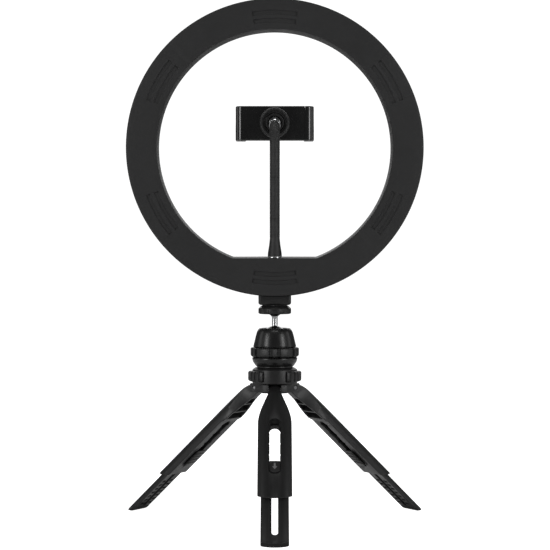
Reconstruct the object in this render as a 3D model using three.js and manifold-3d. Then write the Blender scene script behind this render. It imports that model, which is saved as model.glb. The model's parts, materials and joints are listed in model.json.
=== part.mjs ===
// Ring light on a folding mini tripod. Millimetres, +Z up, origin on the floor under the middle of it.
import * as THREE from 'three';
import { mergeVertices } from 'three/addons/utils/BufferGeometryUtils.js';
import Module from 'manifold-3d';

const wasm = await Module();
wasm.setup();

// Driving dimensions
const GAP = 0.3;              // between touching pieces
const AXIS_Y = 35.17;         // tripod axis behind the middle of the footprint

const RING_Z = 323.4;         // centre of the ring
const RING_OUTER = 128.5;
const RING_INNER = 101.6;
const RING_BACK = 8;          // the ring's back face in front of the tripod axis, towards -Y
const RING_DEPTH = 20;
const RING_WALL = 2;
const CHORD_DROP = 95.2;      // flat at the bottom of the opening, below the ring's centre
const DIFFUSER_THICKNESS = 2;
const GROOVE_RADII = [116.5, 109.5];
const GROOVE_WIDTH = 3.8;
const GROOVE_DEPTH = 1.2;
const GROOVE_HALF_ANGLE = 9.6;

const BLOCK_WIDTH = 28.3;
const BLOCK_LOW = 187.5;
const BLOCK_HIGH = 197;
const WHEEL_RADIUS = 14.5;
const WHEEL_LOW = 179.6;
const WHEEL_EDGE_HIGH = 184.6;   // the rim's chamfer starts here
const WHEEL_HIGH = 186.5;
const WHEEL_TOP_RADIUS = 12.2;
const SCREW_RADIUS = 3.1;
const STEM_RADIUS = 2.8;

const BALL_Z = 157.5;
const BALL_RADIUS = 12;
const LOCK_RING_LOW = 142.2;
const LOCK_RING_HIGH = 150.6;
const LOCK_RING_RADIUS = 21;
const COLLAR_LOW = 119.7;
const COLLAR_HIGH = 133.2;
const COLLAR_RADIUS = 19.4;
const GRIP_RADIUS = 23.2;
const HUB_LOW = 111.9;
const HUB_HIGH = 119.4;
const HUB_RADIUS = 21.6;
const BOLT_RADIUS = 4;

const LEG_AZIMUTHS = [270, 30, 150];
const LEG_PITCH = 42.5;       // below the horizontal
const PIN_REACH = 15;         // hinge pins from the tripod axis
const PIN_Z = 115.5;
const PIN_RADIUS = 1.5;
const KNUCKLE_RADIUS = 3.9;
const SHELL_END_Z = 36.3;     // the shell's lower end is cut level
const SHELL_REACH = 131;
const SHELL_HALF = 14.35;
const NECK_HALF = 5;
const EXTENSION_START = 89.2;
const EXTENSION_HALF = 11.5;
const SEAM_Z = 3;             // top of the rubber foot
const BUTTON_START = 89.5;
const BUTTON_END = 102.3;
const BUTTON_HALF = 4.35;
const STEM_START = 92.6;      // stem of the latch button
const STEM_END = 99.6;

const ARM_Y = 2;              // the arm stands in the middle of the ring's depth
const ARM_RADIUS = 4.55;
const ARM_FOOT = 229.4;
const ARM_LOW_END = 262;
const ARM_MIDDLE_END = 298;
const ARM_RISE = 27;          // the arm's end climbs this much above the horizontal, in degrees
const SLEEVE_END = 7.6;       // from the centre of the clip's ball back to the sleeve
const FERRULE_RADIUS = 5;
const CLIP_Z = 346.5;
const CLIP_BALL_Y = 21;
const CLIP_BALL_RADIUS = 6;
const CLIP_HALF = 34.6;
const CLIP_HALF_HEIGHT = 15.2;
const CLIP_BACK_Y = 28.5;
const CLIP_FRONT_Y = 36;
const JAW_REACH_Y = 50;
const JAW_THICKNESS = 4.5;

const RAD = Math.PI / 180;

// Materials
const material = (color, roughness, metalness = 0) =>
  new THREE.MeshStandardMaterial({ color, roughness, metalness });
const matteBlack = material(0x2f2f30, 0.6);
const satinBlack = material(0x1e1e1f, 0.42);
const glossBlack = material(0x161617, 0.2);
const rubberBlack = material(0x18181a, 0.85);
const chrome = material(0xd8dadc, 0.12, 1);
const steel = material(0xa9abad, 0.35, 1);
const brass = material(0xb8923f, 0.35, 1);
const boardWhite = material(0xe9e9e4, 0.5);
const boardGreen = material(0x1d5a33, 0.5);
const diffuserWhite = material(0xf1f0ea, 0.45);

// Closed geometry to a solid that can be joined and cut, and back
function solid(geometry) {
  const bare = geometry.clone();
  bare.deleteAttribute('normal');
  bare.deleteAttribute('uv');
  const merged = mergeVertices(bare, 1e-4);
  const index = merged.index.array;
  const faces = [];
  for (let i = 0; i < index.length; i += 3) {
    const [a, b, c] = [index[i], index[i + 1], index[i + 2]];
    if (a !== b && b !== c && c !== a) faces.push(a, b, c);
  }
  return new wasm.Manifold(new wasm.Mesh({
    numProp: 3,
    vertProperties: new Float32Array(merged.attributes.position.array),
    triVerts: new Uint32Array(faces),
  }));
}

function surface(manifold) {
  const mesh = manifold.getMesh();
  const geometry = new THREE.BufferGeometry();
  geometry.setAttribute('position', new THREE.BufferAttribute(mesh.vertProperties, 3));
  geometry.setIndex(new THREE.BufferAttribute(mesh.triVerts, 1));
  geometry.computeVertexNormals();
  return geometry;
}

const join = (first, ...others) => others.reduce((whole, other) => whole.add(other), first);
const cut = (first, ...others) => others.reduce((whole, other) => whole.subtract(other), first);

function named(name, manifold, finish) {
  const mesh = new THREE.Mesh(surface(manifold), finish.clone());
  mesh.name = name;
  return mesh;
}

// Basic shapes
function box(low, high) {
  const size = high.map((value, i) => value - low[i]);
  const centre = high.map((value, i) => (value + low[i]) / 2);
  return solid(new THREE.BoxGeometry(...size).translate(...centre));
}

// A profile of [radius, height] points, turned about Z: up the outside and down the inside
function turned(profile, sides = 32) {
  const points = profile.map(([radius, height]) => new THREE.Vector2(radius, height));
  return new THREE.LatheGeometry(points, sides).rotateX(Math.PI / 2);
}

function disc(radius, low, high, sides = 24) {
  return turned([[0, low], [radius, low], [radius, high], [0, high]], sides);
}

function tube(inner, outer, low, high, sides = 32) {
  return turned([[inner, low], [outer, low], [outer, high], [inner, high], [inner, low]], sides);
}

function prism(shape, low, high, curveSegments = 12) {
  const options = { depth: high - low, bevelEnabled: false, curveSegments };
  return new THREE.ExtrudeGeometry(shape, options).translate(0, 0, low);
}

const alongX = (geometry) => geometry.rotateY(Math.PI / 2);
const alongY = (geometry) => geometry.rotateX(-Math.PI / 2);

// A geometry drawn with X and Y across the leg or ring, laid so that its Z runs along X and its Y stays up
const acrossX = new THREE.Matrix4().makeBasis(
  new THREE.Vector3(0, 1, 0),
  new THREE.Vector3(0, 0, 1),
  new THREE.Vector3(1, 0, 0),
);

function arcPoints(centre, radius, from, to, steps) {
  const points = [];
  for (let i = 0; i <= steps; i += 1) {
    const angle = (from + (to - from) * i / steps) * RAD;
    points.push([centre[0] + radius * Math.cos(angle), centre[1] + radius * Math.sin(angle)]);
  }
  return points;
}

function outline(points) {
  return new THREE.Shape(points.map(([x, y]) => new THREE.Vector2(x, y)));
}

// A round outline whose radius changes with the angle in degrees
function ribbedOutline(radiusAt, step) {
  const points = [];
  for (let angle = 0; angle < 360 - step / 2; angle += step) {
    const radius = radiusAt(angle);
    points.push([radius * Math.cos(angle * RAD), radius * Math.sin(angle * RAD)]);
  }
  return outline(points);
}

function slot(from, to, half, low, high) {
  const shape = new THREE.Shape();
  shape.moveTo(from + half, -half);
  shape.lineTo(to - half, -half);
  shape.absarc(to - half, 0, half, -Math.PI / 2, Math.PI / 2, false);
  shape.lineTo(from + half, half);
  shape.absarc(from + half, 0, half, Math.PI / 2, Math.PI * 1.5, false);
  return solid(prism(shape, low, high, 3));
}

// Ring: drawn in its own plane with its back towards +Z, then stood up with its back towards -Y
const RING_FRONT = RING_BACK - RING_DEPTH;

function openingPath(radius, drop) {
  const start = Math.acos(drop / radius) - Math.PI / 2;
  const path = new THREE.Path();
  path.moveTo(radius * Math.cos(start), radius * Math.sin(start));
  path.absarc(0, 0, radius, start, Math.PI - start, false);
  path.closePath();
  return path;
}

function ringSolid(outer, inner, drop, low, high) {
  const shape = new THREE.Shape();
  shape.absarc(0, 0, outer, 0, 2 * Math.PI, false);
  shape.holes.push(openingPath(inner, drop));
  return solid(prism(shape, low, high, 36));
}

function grooveSolid(radius, azimuth) {
  const inner = radius - GROOVE_WIDTH / 2;
  const outer = radius + GROOVE_WIDTH / 2;
  const points = [
    ...arcPoints([0, 0], outer, azimuth - GROOVE_HALF_ANGLE, azimuth + GROOVE_HALF_ANGLE, 6),
    ...arcPoints([0, 0], inner, azimuth + GROOVE_HALF_ANGLE, azimuth - GROOVE_HALF_ANGLE, 6),
  ];
  return solid(prism(outline(points), RING_BACK - GROOVE_DEPTH, RING_BACK + 1));
}

const SCREW_X = 9;

function ringBackShell() {
  const body = ringSolid(RING_OUTER, RING_INNER, CHORD_DROP, RING_FRONT, RING_BACK);
  const cavity = ringSolid(
    RING_OUTER - RING_WALL,
    RING_INNER + RING_WALL,
    CHORD_DROP + RING_WALL,
    RING_FRONT - 1,
    RING_BACK - GROOVE_DEPTH - RING_WALL,
  );
  const grooves = [];
  for (let azimuth = 30; azimuth < 390; azimuth += 60) {
    for (const radius of GROOVE_RADII) grooves.push(grooveSolid(radius, azimuth));
  }
  const holeLevel = -ARM_Y;
  const hole = (x, radius, low, high) => solid(
    disc(radius, low, high, 12).rotateX(-Math.PI / 2).translate(x, 0, holeLevel),
  );
  const armHole = hole(0, 3.3, -CHORD_DROP - 4, -CHORD_DROP + 1);
  const screwHoles = [-SCREW_X, SCREW_X].map((x) => hole(x, 1.8, -RING_OUTER - 1, -RING_OUTER + 4));
  return cut(body, cavity, ...grooves, armHole, ...screwHoles);
}

function ringPieces() {
  const diffuser = ringSolid(
    RING_OUTER - RING_WALL - GAP,
    RING_INNER + RING_WALL + GAP,
    CHORD_DROP + RING_WALL + GAP,
    RING_FRONT,
    RING_FRONT + DIFFUSER_THICKNESS,
  );
  const board = ringSolid(124, 106.5, 99.8, -9.2, -8);
  const driver = box([12, -121, -2.4], [34, -111, 1.2]);
  const ring = new THREE.Group();
  ring.rotation.x = Math.PI / 2;
  ring.position.z = RING_Z;
  ring.add(
    named('ring_back_shell', ringBackShell(), matteBlack),
    named('ring_diffuser', diffuser, diffuserWhite),
    named('led_board', board, boardWhite),
    named('driver_board', driver, boardGreen),
  );
  return ring;
}

// Block under the ring, with the inlet on its far side
const INLET_Z = 191.6;
const BLOCK_FAR_Y = RING_DEPTH - RING_BACK;

function mountPieces() {
  const half = BLOCK_WIDTH / 2;
  const side = [
    [-half + 1.2, BLOCK_LOW], [half - 1.2, BLOCK_LOW], [half, BLOCK_LOW + 1.2],
    [half, BLOCK_HIGH], [-half, BLOCK_HIGH], [-half, BLOCK_LOW + 1.2],
  ];
  const raw = solid(prism(outline(side), -BLOCK_FAR_Y, RING_BACK).rotateX(Math.PI / 2));
  const ringSpace = solid(alongY(disc(RING_OUTER + GAP, -30, 30, 160)).translate(0, 0, RING_Z));
  const insertHole = solid(disc(5.3, BLOCK_LOW - 1, 193.9));
  const inletHole = box([-4.8, 6.2, INLET_Z - 2.1], [4.8, 20, INLET_Z + 2.1]);
  const screwHoles = [-SCREW_X, SCREW_X].map((x) => join(
    solid(disc(1.8, BLOCK_LOW - 1, BLOCK_HIGH + 1, 12).translate(x, ARM_Y, 0)),
    solid(disc(3, BLOCK_LOW - 1, BLOCK_LOW + 2.2, 12).translate(x, ARM_Y, 0)),
  ));
  const block = cut(raw, ringSpace, insertHole, inletHole, ...screwHoles);
  const insert = solid(tube(SCREW_RADIUS + GAP, 5, BLOCK_LOW + 0.4, 193.6, 20));
  const shell = box([-4.5, 6.5, INLET_Z - 1.8], [4.5, 11.8, INLET_Z + 1.8]);
  const mouth = box([-4.1, 7.5, INLET_Z - 1.4], [4.1, 13, INLET_Z + 1.4]);
  const tongue = box([-3.2, 7.4, INLET_Z - 0.4], [3.2, 11.2, INLET_Z + 0.4]);
  const screw = (x) => solid(turned([
    [0, BLOCK_LOW + 0.3], [2.6, BLOCK_LOW + 0.3], [2.6, BLOCK_LOW + 1.9], [1.5, BLOCK_LOW + 1.9],
    [1.5, 200], [0, 200],
  ], 12).translate(x, ARM_Y, 0));
  return [
    named('mount_block', block, satinBlack),
    named('thread_insert', insert, brass),
    named('usb_inlet', join(cut(shell, mouth), tongue), steel),
    named('block_screw_1', screw(-SCREW_X), steel),
    named('block_screw_2', screw(SCREW_X), steel),
  ];
}

// Thumb wheel, its washer, and the screw and stem on the ball
function wheelPieces() {
  const knurl = (angle) => ((angle / 7.5) % 2 === 0 ? WHEEL_RADIUS : WHEEL_RADIUS - 0.7);
  const wheel = cut(
    join(
      solid(prism(ribbedOutline(knurl, 7.5), WHEEL_LOW + 0.6, WHEEL_EDGE_HIGH)),
      solid(turned([
        [0, WHEEL_LOW], [WHEEL_RADIUS - 1.2, WHEEL_LOW], [WHEEL_RADIUS - 0.8, WHEEL_EDGE_HIGH],
        [WHEEL_TOP_RADIUS, WHEEL_HIGH], [0, WHEEL_HIGH],
      ], 24)),
    ),
    solid(disc(SCREW_RADIUS + GAP, WHEEL_LOW - 1, WHEEL_HIGH + 1, 20)),
  );
  const washer = solid(tube(SCREW_RADIUS + GAP, 5.2, WHEEL_HIGH + GAP, BLOCK_LOW - GAP, 16));
  const screw = solid(disc(SCREW_RADIUS, WHEEL_LOW + GAP, 192.8, 20));
  const stem = solid(turned([
    [0, BALL_Z + BALL_RADIUS + GAP], [STEM_RADIUS, BALL_Z + BALL_RADIUS + GAP],
    [STEM_RADIUS, 177.3], [4.3, WHEEL_LOW - GAP], [0, WHEEL_LOW - GAP],
  ], 20));
  return [
    named('thumb_wheel', wheel, satinBlack),
    named('wheel_washer', washer, rubberBlack),
    named('mount_screw', screw, steel),
    named('ball_stem', stem, chrome),
  ];
}

// Ball head
const SOCKET_RADIUS = BALL_RADIUS + GAP;
const MOUTH_RADIUS = 10.6;
const HEAD_BORE = 15;

function headPieces() {
  const mouthAngle = Math.acos(MOUTH_RADIUS / SOCKET_RADIUS) / RAD;
  const sphere = new THREE.SphereGeometry(BALL_RADIUS, 18, 12).rotateX(Math.PI / 2);
  const ball = solid(sphere.translate(0, 0, BALL_Z));
  const housing = solid(turned([
    [SOCKET_RADIUS, 143.2], [HEAD_BORE, 143.2], [HEAD_BORE, LOCK_RING_HIGH + GAP],
    [18.8, LOCK_RING_HIGH + GAP], [17.3, 157], [15.5, 164.1], [13.4, 167.3],
    [MOUTH_RADIUS, 167.3],
    ...arcPoints([0, BALL_Z], SOCKET_RADIUS, mouthAngle, 0, 3),
    [SOCKET_RADIUS, 143.2],
  ], 28));
  const seat = solid(turned([
    [0, 143.4], [12, 143.4], [12, 152], [11, 152],
    ...arcPoints([0, BALL_Z], SOCKET_RADIUS, -27, -90, 3),
  ], 20));
  const base = solid(turned([
    [BOLT_RADIUS + GAP, COLLAR_HIGH + GAP], [16, COLLAR_HIGH + GAP], [16, 134.4], [16.6, 134.4],
    [18.4, 137.2], [19.6, 140.4], [19.6, LOCK_RING_LOW - GAP], [HEAD_BORE, LOCK_RING_LOW - GAP],
    [HEAD_BORE, 142.9], [0, 142.9], [0, 138], [BOLT_RADIUS + GAP, 138],
    [BOLT_RADIUS + GAP, COLLAR_HIGH + GAP],
  ], 26));
  const bolt = solid(turned([
    [0, HUB_LOW + 0.3], [6.5, HUB_LOW + 0.3], [6.5, HUB_LOW + 1.9], [BOLT_RADIUS, HUB_LOW + 1.9],
    [BOLT_RADIUS, 137.7], [0, 137.7],
  ], 20));
  return [
    named('ball', ball, glossBlack),
    named('ball_housing', housing, satinBlack),
    named('ball_seat', seat, boardWhite),
    named('head_base', base, satinBlack),
    named('base_bolt', bolt, steel),
    named('lock_ring', lockRing(), satinBlack),
  ];
}

// Six narrow ribs and six broad pads, the ribs at 30, 90, 150 degrees and so on
function lockRing() {
  const inGroove = (turn) => (turn > 6 && turn < 14) || (turn > 46 && turn < 54);
  const radiusAt = (angle) => (inGroove((angle + 30) % 60) ? LOCK_RING_RADIUS - 1.4 : LOCK_RING_RADIUS);
  const grips = solid(prism(ribbedOutline(radiusAt, 10), LOCK_RING_LOW + 1, LOCK_RING_HIGH - 0.5));
  const body = solid(disc(LOCK_RING_RADIUS - 2, LOCK_RING_LOW, LOCK_RING_HIGH, 28));
  const bore = solid(disc(HEAD_BORE + GAP, LOCK_RING_LOW - 1, LOCK_RING_HIGH + 1, 28));
  return cut(join(grips, body), bore);
}

// Pan-lock collar: three ribbed grips between the legs
function collar() {
  const body = solid(turned([
    [BOLT_RADIUS + 0.6, COLLAR_LOW], [COLLAR_RADIUS, COLLAR_LOW], [COLLAR_RADIUS, COLLAR_HIGH - 1.6],
    [COLLAR_RADIUS - 2.2, COLLAR_HIGH], [BOLT_RADIUS + 0.6, COLLAR_HIGH], [BOLT_RADIUS + 0.6, COLLAR_LOW],
  ], 28));
  const grips = [90, 210, 330].map((azimuth) => {
    const points = arcPoints([0, 0], COLLAR_RADIUS - 1, azimuth + 30, azimuth - 30, 6);
    for (let turn = -30; turn <= 30; turn += 5) {
      const angle = (azimuth + turn) * RAD;
      const radius = turn % 15 === 0 && Math.abs(turn) < 30 ? GRIP_RADIUS - 0.8 : GRIP_RADIUS;
      points.push([radius * Math.cos(angle), radius * Math.sin(angle)]);
    }
    return solid(prism(outline(points), 121.4, 130.5));
  });
  return join(body, ...grips);
}

// Hub: a core with three slotted lugs
const LUG_HALF = 10.8;
const NECK_SLOT_HALF = NECK_HALF + 0.5;

function hub() {
  const turnTo = (geometry, azimuth) => geometry.rotateZ(azimuth * RAD);
  const block = (low, high) => new THREE.BoxGeometry(...high.map((v, i) => v - low[i]))
    .translate(...high.map((v, i) => (v + low[i]) / 2));
  const lugs = LEG_AZIMUTHS.map((a) => solid(turnTo(
    block([0, -LUG_HALF, HUB_LOW], [HUB_RADIUS + 3, LUG_HALF, HUB_HIGH]), a)));
  const slots = LEG_AZIMUTHS.map((a) => solid(turnTo(
    block([PIN_REACH - KNUCKLE_RADIUS - 0.6, -NECK_SLOT_HALF, HUB_LOW - 5],
      [HUB_RADIUS + 6, NECK_SLOT_HALF, HUB_HIGH + 5]), a)));
  const holes = LEG_AZIMUTHS.map((a) => solid(turnTo(
    alongY(disc(PIN_RADIUS + GAP, -20, 20, 12)).translate(PIN_REACH, 0, PIN_Z), a)));
  const edge = solid(disc(HUB_RADIUS, HUB_LOW - 1, HUB_HIGH + 1, 30));
  const bore = solid(disc(BOLT_RADIUS + GAP, HUB_LOW - 1, HUB_HIGH + 1, 20));
  const recess = solid(disc(6.8, HUB_LOW - 1, HUB_LOW + 2.2, 20));
  return cut(join(...lugs).intersect(edge), bore, recess, ...slots, ...holes);
}

// Leg, drawn with X down the leg from the hinge pin, Y across it and Z out of its crown
const sine = Math.sin(LEG_PITCH * RAD);
const cosine = Math.cos(LEG_PITCH * RAD);
const reachAtHeight = (z, n) => (PIN_Z - z + cosine * n) / sine;

// Rounded crown of the given radius over a flat underside
function crowned(radius, half, bottom, from, to, steps = 10) {
  const centre = -7;
  const edge = Math.acos(half / radius) / RAD;
  const crown = arcPoints([0, centre], radius, edge, 180 - edge, steps);
  const points = [[-half, bottom], [half, bottom], ...crown];
  return solid(prism(outline(points), from, to).applyMatrix4(acrossX));
}

function sideways(points, half) {
  return solid(prism(outline(points), -half, half).rotateX(Math.PI / 2));
}

const SHELL_BOTTOM = -1.7;
const SLOT_HALF = 4.35;       // slot of the thumb slider, with small scallops along its edges
const SCALLOP_START = 49.5;
const SCALLOP_PITCH = 12.4;
const SCALLOP_RADIUS = 1.5;
// Hollows under the neck, with cross ribs left between them: start, end, half width at each, roof
const NECK_HOLLOWS = [
  [11.5, 18.4, 3.4, 6, 5],
  [19.8, 28.9, 6.8, 10.2, 4],
  [30.3, 38.5, 10.7, 12.2, 2.5],
];

function legShell() {
  const plan = new THREE.Shape();
  plan.moveTo(-6, -NECK_HALF);
  plan.lineTo(8, -NECK_HALF);
  plan.bezierCurveTo(17, -5.4, 26, -14, 41, -SHELL_HALF);
  plan.lineTo(SHELL_REACH, -SHELL_HALF);
  plan.lineTo(SHELL_REACH, SHELL_HALF);
  plan.lineTo(41, SHELL_HALF);
  plan.bezierCurveTo(26, 14, 17, 5.4, 8, NECK_HALF);
  plan.lineTo(-6, NECK_HALF);
  plan.closePath();
  const side = [
    ...arcPoints([0, 0], KNUCKLE_RADIUS, 60, 270, 8),
    [15, -3.3], [40, -3], [44, SHELL_BOTTOM], [reachAtHeight(SHELL_END_Z, SHELL_BOTTOM), SHELL_BOTTOM],
    [reachAtHeight(SHELL_END_Z, 12), 12], [24, 12], [16, 10], [9, 8.4],
  ];
  const blank = solid(prism(plan, -8, 12, 8))
    .intersect(sideways(side, 20))
    .intersect(crowned(17, SHELL_HALF, -8, -10, SHELL_REACH));
  const channel = crowned(14.9, EXTENSION_HALF + GAP, -0.2, 46, SHELL_REACH + 1);
  const hollows = NECK_HOLLOWS.map(([from, to, fromHalf, toHalf, roof]) => solid(prism(
    outline([[from, -fromHalf], [to, -toHalf], [to, toHalf], [from, fromHalf]]), -8, roof,
  )));
  const scallops = [];
  for (let i = 0; i < 5; i += 1) {
    const along = SCALLOP_START + SCALLOP_PITCH * i;
    for (const across of [-SLOT_HALF, SLOT_HALF]) {
      scallops.push(solid(disc(SCALLOP_RADIUS, -3, 3, 10).translate(along, across, 0)));
    }
  }
  const pinHole = solid(alongY(disc(PIN_RADIUS + GAP, -20, 20, 12)));
  return cut(
    blank,
    channel,
    ...hollows,
    slot(43.4, 103.6, 4.65, 3, 14),
    slot(42.9, 104.1, 5.2, 7.6, 14),
    slot(44.5, 107, SLOT_HALF, -5, 3),
    ...scallops,
    pinHole,
  );
}

// Notches along the underside of the extension
const NOTCH_START = 128.5;
const NOTCH_PITCH = 5.24;
const NOTCH_LENGTH = 2.6;

function legExtension() {
  const bottom = 0.1;
  const crown = 7.6;
  const side = [
    [EXTENSION_START, bottom], [reachAtHeight(SEAM_Z + GAP, bottom), bottom],
    [reachAtHeight(SEAM_Z + GAP, crown), crown], [EXTENSION_START, crown],
  ];
  const notches = [];
  for (let i = 0; i < 7; i += 1) {
    const start = NOTCH_START + NOTCH_PITCH * i;
    const end = start + NOTCH_LENGTH;
    notches.push(box([start, 3.4, -1], [end, 8.8, 0.9]), box([start, -8.8, -1], [end, -3.4, 0.9]));
  }
  return cut(
    crowned(14.6, EXTENSION_HALF, -1, EXTENSION_START - 1, 185).intersect(sideways(side, 20)),
    slot(112, 166, 2.6, -3, 12),
    box([EXTENSION_START - 1, -BUTTON_HALF - GAP, 6.3], [BUTTON_END + 0.7, BUTTON_HALF + GAP, 12]),
    box([STEM_START - 0.4, -2.6, -3], [STEM_END + 0.4, 2.6, 8]),
    ...notches,
  );
}

function rubberFoot() {
  const bottom = 0.1;
  const crown = 7.6;
  const side = [
    [reachAtHeight(SEAM_Z, bottom), bottom], [reachAtHeight(0, bottom), bottom],
    [reachAtHeight(0, crown), crown], [reachAtHeight(SEAM_Z, crown), crown],
  ];
  return crowned(14.6, EXTENSION_HALF, -1, 150, 190).intersect(sideways(side, 20));
}

function latchButton() {
  const head = slot(BUTTON_START, BUTTON_END, BUTTON_HALF, 8.1, 9.4);
  const squareEnd = box([BUTTON_START, -BUTTON_HALF, 8.1], [BUTTON_START + 5, BUTTON_HALF, 9.4]);
  const stem = box([STEM_START, -2.3, 2.8], [STEM_END, 2.3, 8.2]);
  return join(head, squareEnd, stem);
}

const SLIDER_START = 84;

function thumbSlider() {
  const pad = [box([SLIDER_START, -5.6, -3.4], [SLIDER_START + 21.5, 5.6, -2.1])];
  for (let i = 0; i < 4; i += 1) {
    const start = SLIDER_START + 3 + 4 * i;
    pad.push(box([start, -5, -4.2], [start + 1.8, 5, -3.3]));
  }
  return join(box([SLIDER_START + 7, -3.5, -2.2], [SLIDER_START + 20, 3.5, -0.2]), ...pad);
}

function legPieces(azimuth, number) {
  const leg = new THREE.Group();
  leg.position.set(PIN_REACH, 0, PIN_Z);
  leg.rotation.y = LEG_PITCH * RAD;
  const springSolid = solid(disc(1.9, 0.3, 2.5, 12).translate((STEM_START + STEM_END) / 2, 0, 0));
  const pin = solid(alongY(disc(PIN_RADIUS, -LUG_HALF + 0.4, LUG_HALF - 0.4, 12)));
  leg.add(
    named(`hinge_pin_${number}`, pin, steel),
    named(`leg_shell_${number}`, legShell(), satinBlack),
    named(`leg_extension_${number}`, legExtension(), satinBlack),
    named(`rubber_foot_${number}`, rubberFoot(), rubberBlack),
    named(`latch_button_${number}`, latchButton(), satinBlack),
    named(`latch_spring_${number}`, springSolid, steel),
    named(`thumb_slider_${number}`, thumbSlider(), satinBlack),
  );
  const turn = new THREE.Group();
  turn.rotation.z = azimuth * RAD;
  turn.add(leg);
  return turn;
}

// Gooseneck arm: straight up, then bent over towards the clip's ball
function armPieces() {
  const anchor = join(
    solid(disc(3, 221, 228.6, 16)),
    solid(disc(6, ARM_FOOT - 1, ARM_FOOT - GAP, 24)),
    solid(disc(5.6, 221.4, 225.4, 6)),
  );
  const boot = solid(turned([
    [0, ARM_FOOT], [6.2, ARM_FOOT], [6, 233], [5, 240], [ARM_RADIUS, 246], [ARM_RADIUS, ARM_LOW_END],
    [0, ARM_LOW_END],
  ], 20));
  const middle = solid(disc(ARM_RADIUS, ARM_LOW_END + GAP, ARM_MIDDLE_END - GAP, 20));
  const ballY = CLIP_BALL_Y - ARM_Y;
  const endY = ballY - SLEEVE_END * Math.cos(ARM_RISE * RAD);
  const endZ = CLIP_Z - SLEEVE_END * Math.sin(ARM_RISE * RAD);
  const cornerZ = endZ - endY * Math.tan(ARM_RISE * RAD);
  const bendZ = cornerZ - endY;
  const path = new THREE.CurvePath();
  path.add(new THREE.LineCurve3(
    new THREE.Vector3(0, 0, ARM_MIDDLE_END), new THREE.Vector3(0, 0, bendZ)));
  path.add(new THREE.QuadraticBezierCurve3(
    new THREE.Vector3(0, 0, bendZ), new THREE.Vector3(0, 0, cornerZ), new THREE.Vector3(0, endY, endZ)));
  const section = new THREE.Shape();
  section.absarc(0, 0, ARM_RADIUS, 0, 2 * Math.PI, false);
  const upper = solid(new THREE.ExtrudeGeometry(section, {
    steps: 14, extrudePath: path, curveSegments: 7, bevelEnabled: false,
  }));
  const ferrule = solid(alongY(disc(FERRULE_RADIUS, GAP - SLEEVE_END, -CLIP_BALL_RADIUS - GAP, 20))
    .rotateX(ARM_RISE * RAD).translate(0, ballY, CLIP_Z));
  const ball = solid(new THREE.SphereGeometry(CLIP_BALL_RADIUS, 14, 8).translate(0, ballY, CLIP_Z));
  const arm = new THREE.Group();
  arm.position.y = ARM_Y;
  arm.add(
    named('arm_anchor', anchor, steel),
    named('gooseneck_lower', boot, rubberBlack),
    named('gooseneck_middle', middle, rubberBlack),
    named('gooseneck_upper', upper, rubberBlack),
    named('arm_ferrule', ferrule, chrome),
    named('clip_ball', ball, chrome),
  );
  return arm;
}

// Phone clip
const TRAY_END = 26.4;
const RODS_Y = 32.25;

function clipBack() {
  const tray = box([-CLIP_HALF, CLIP_BACK_Y, -CLIP_HALF_HEIGHT], [TRAY_END, CLIP_FRONT_Y, CLIP_HALF_HEIGHT]);
  const cavity = box([-29.8, CLIP_BACK_Y + 1.8, -12.6], [TRAY_END + 1, CLIP_FRONT_Y - 1.8, 12.6]);
  const jaw = box(
    [-CLIP_HALF, CLIP_BACK_Y, -CLIP_HALF_HEIGHT],
    [-CLIP_HALF + JAW_THICKNESS, JAW_REACH_Y, CLIP_HALF_HEIGHT],
  );
  const lip = box([-CLIP_HALF, JAW_REACH_Y - 2.8, -CLIP_HALF_HEIGHT], [-25.6, JAW_REACH_Y, CLIP_HALF_HEIGHT]);
  return join(cut(tray, cavity), jaw, lip);
}

// L-shaped jaw; its shroud closes the joint in the tray, and its tongue and rods guide it
function clipMovingJaw() {
  const inner = CLIP_HALF - JAW_THICKNESS;
  const foot = TRAY_END + GAP;
  const jaw = box([foot, CLIP_BACK_Y, -CLIP_HALF_HEIGHT], [CLIP_HALF, CLIP_FRONT_Y, CLIP_HALF_HEIGHT]);
  const wall = box([inner, CLIP_BACK_Y, -CLIP_HALF_HEIGHT], [CLIP_HALF, JAW_REACH_Y, CLIP_HALF_HEIGHT]);
  const lip = box([25.6, JAW_REACH_Y - 2.8, -CLIP_HALF_HEIGHT], [CLIP_HALF, JAW_REACH_Y, CLIP_HALF_HEIGHT]);
  const shroud = box([foot - 2, 30.7, -12.2], [foot + 1, 33.8, 12.2]);
  const tongue = box([-8, 30.7, -6], [foot, 33.8, 6]);
  const rodHoles = [-9.5, 9.5].map((z) => solid(
    alongX(disc(1.4, foot - 3, inner + 3, 10)).translate(0, RODS_Y, z)));
  return cut(join(jaw, wall, lip, shroud, tongue), ...rodHoles);
}

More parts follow.
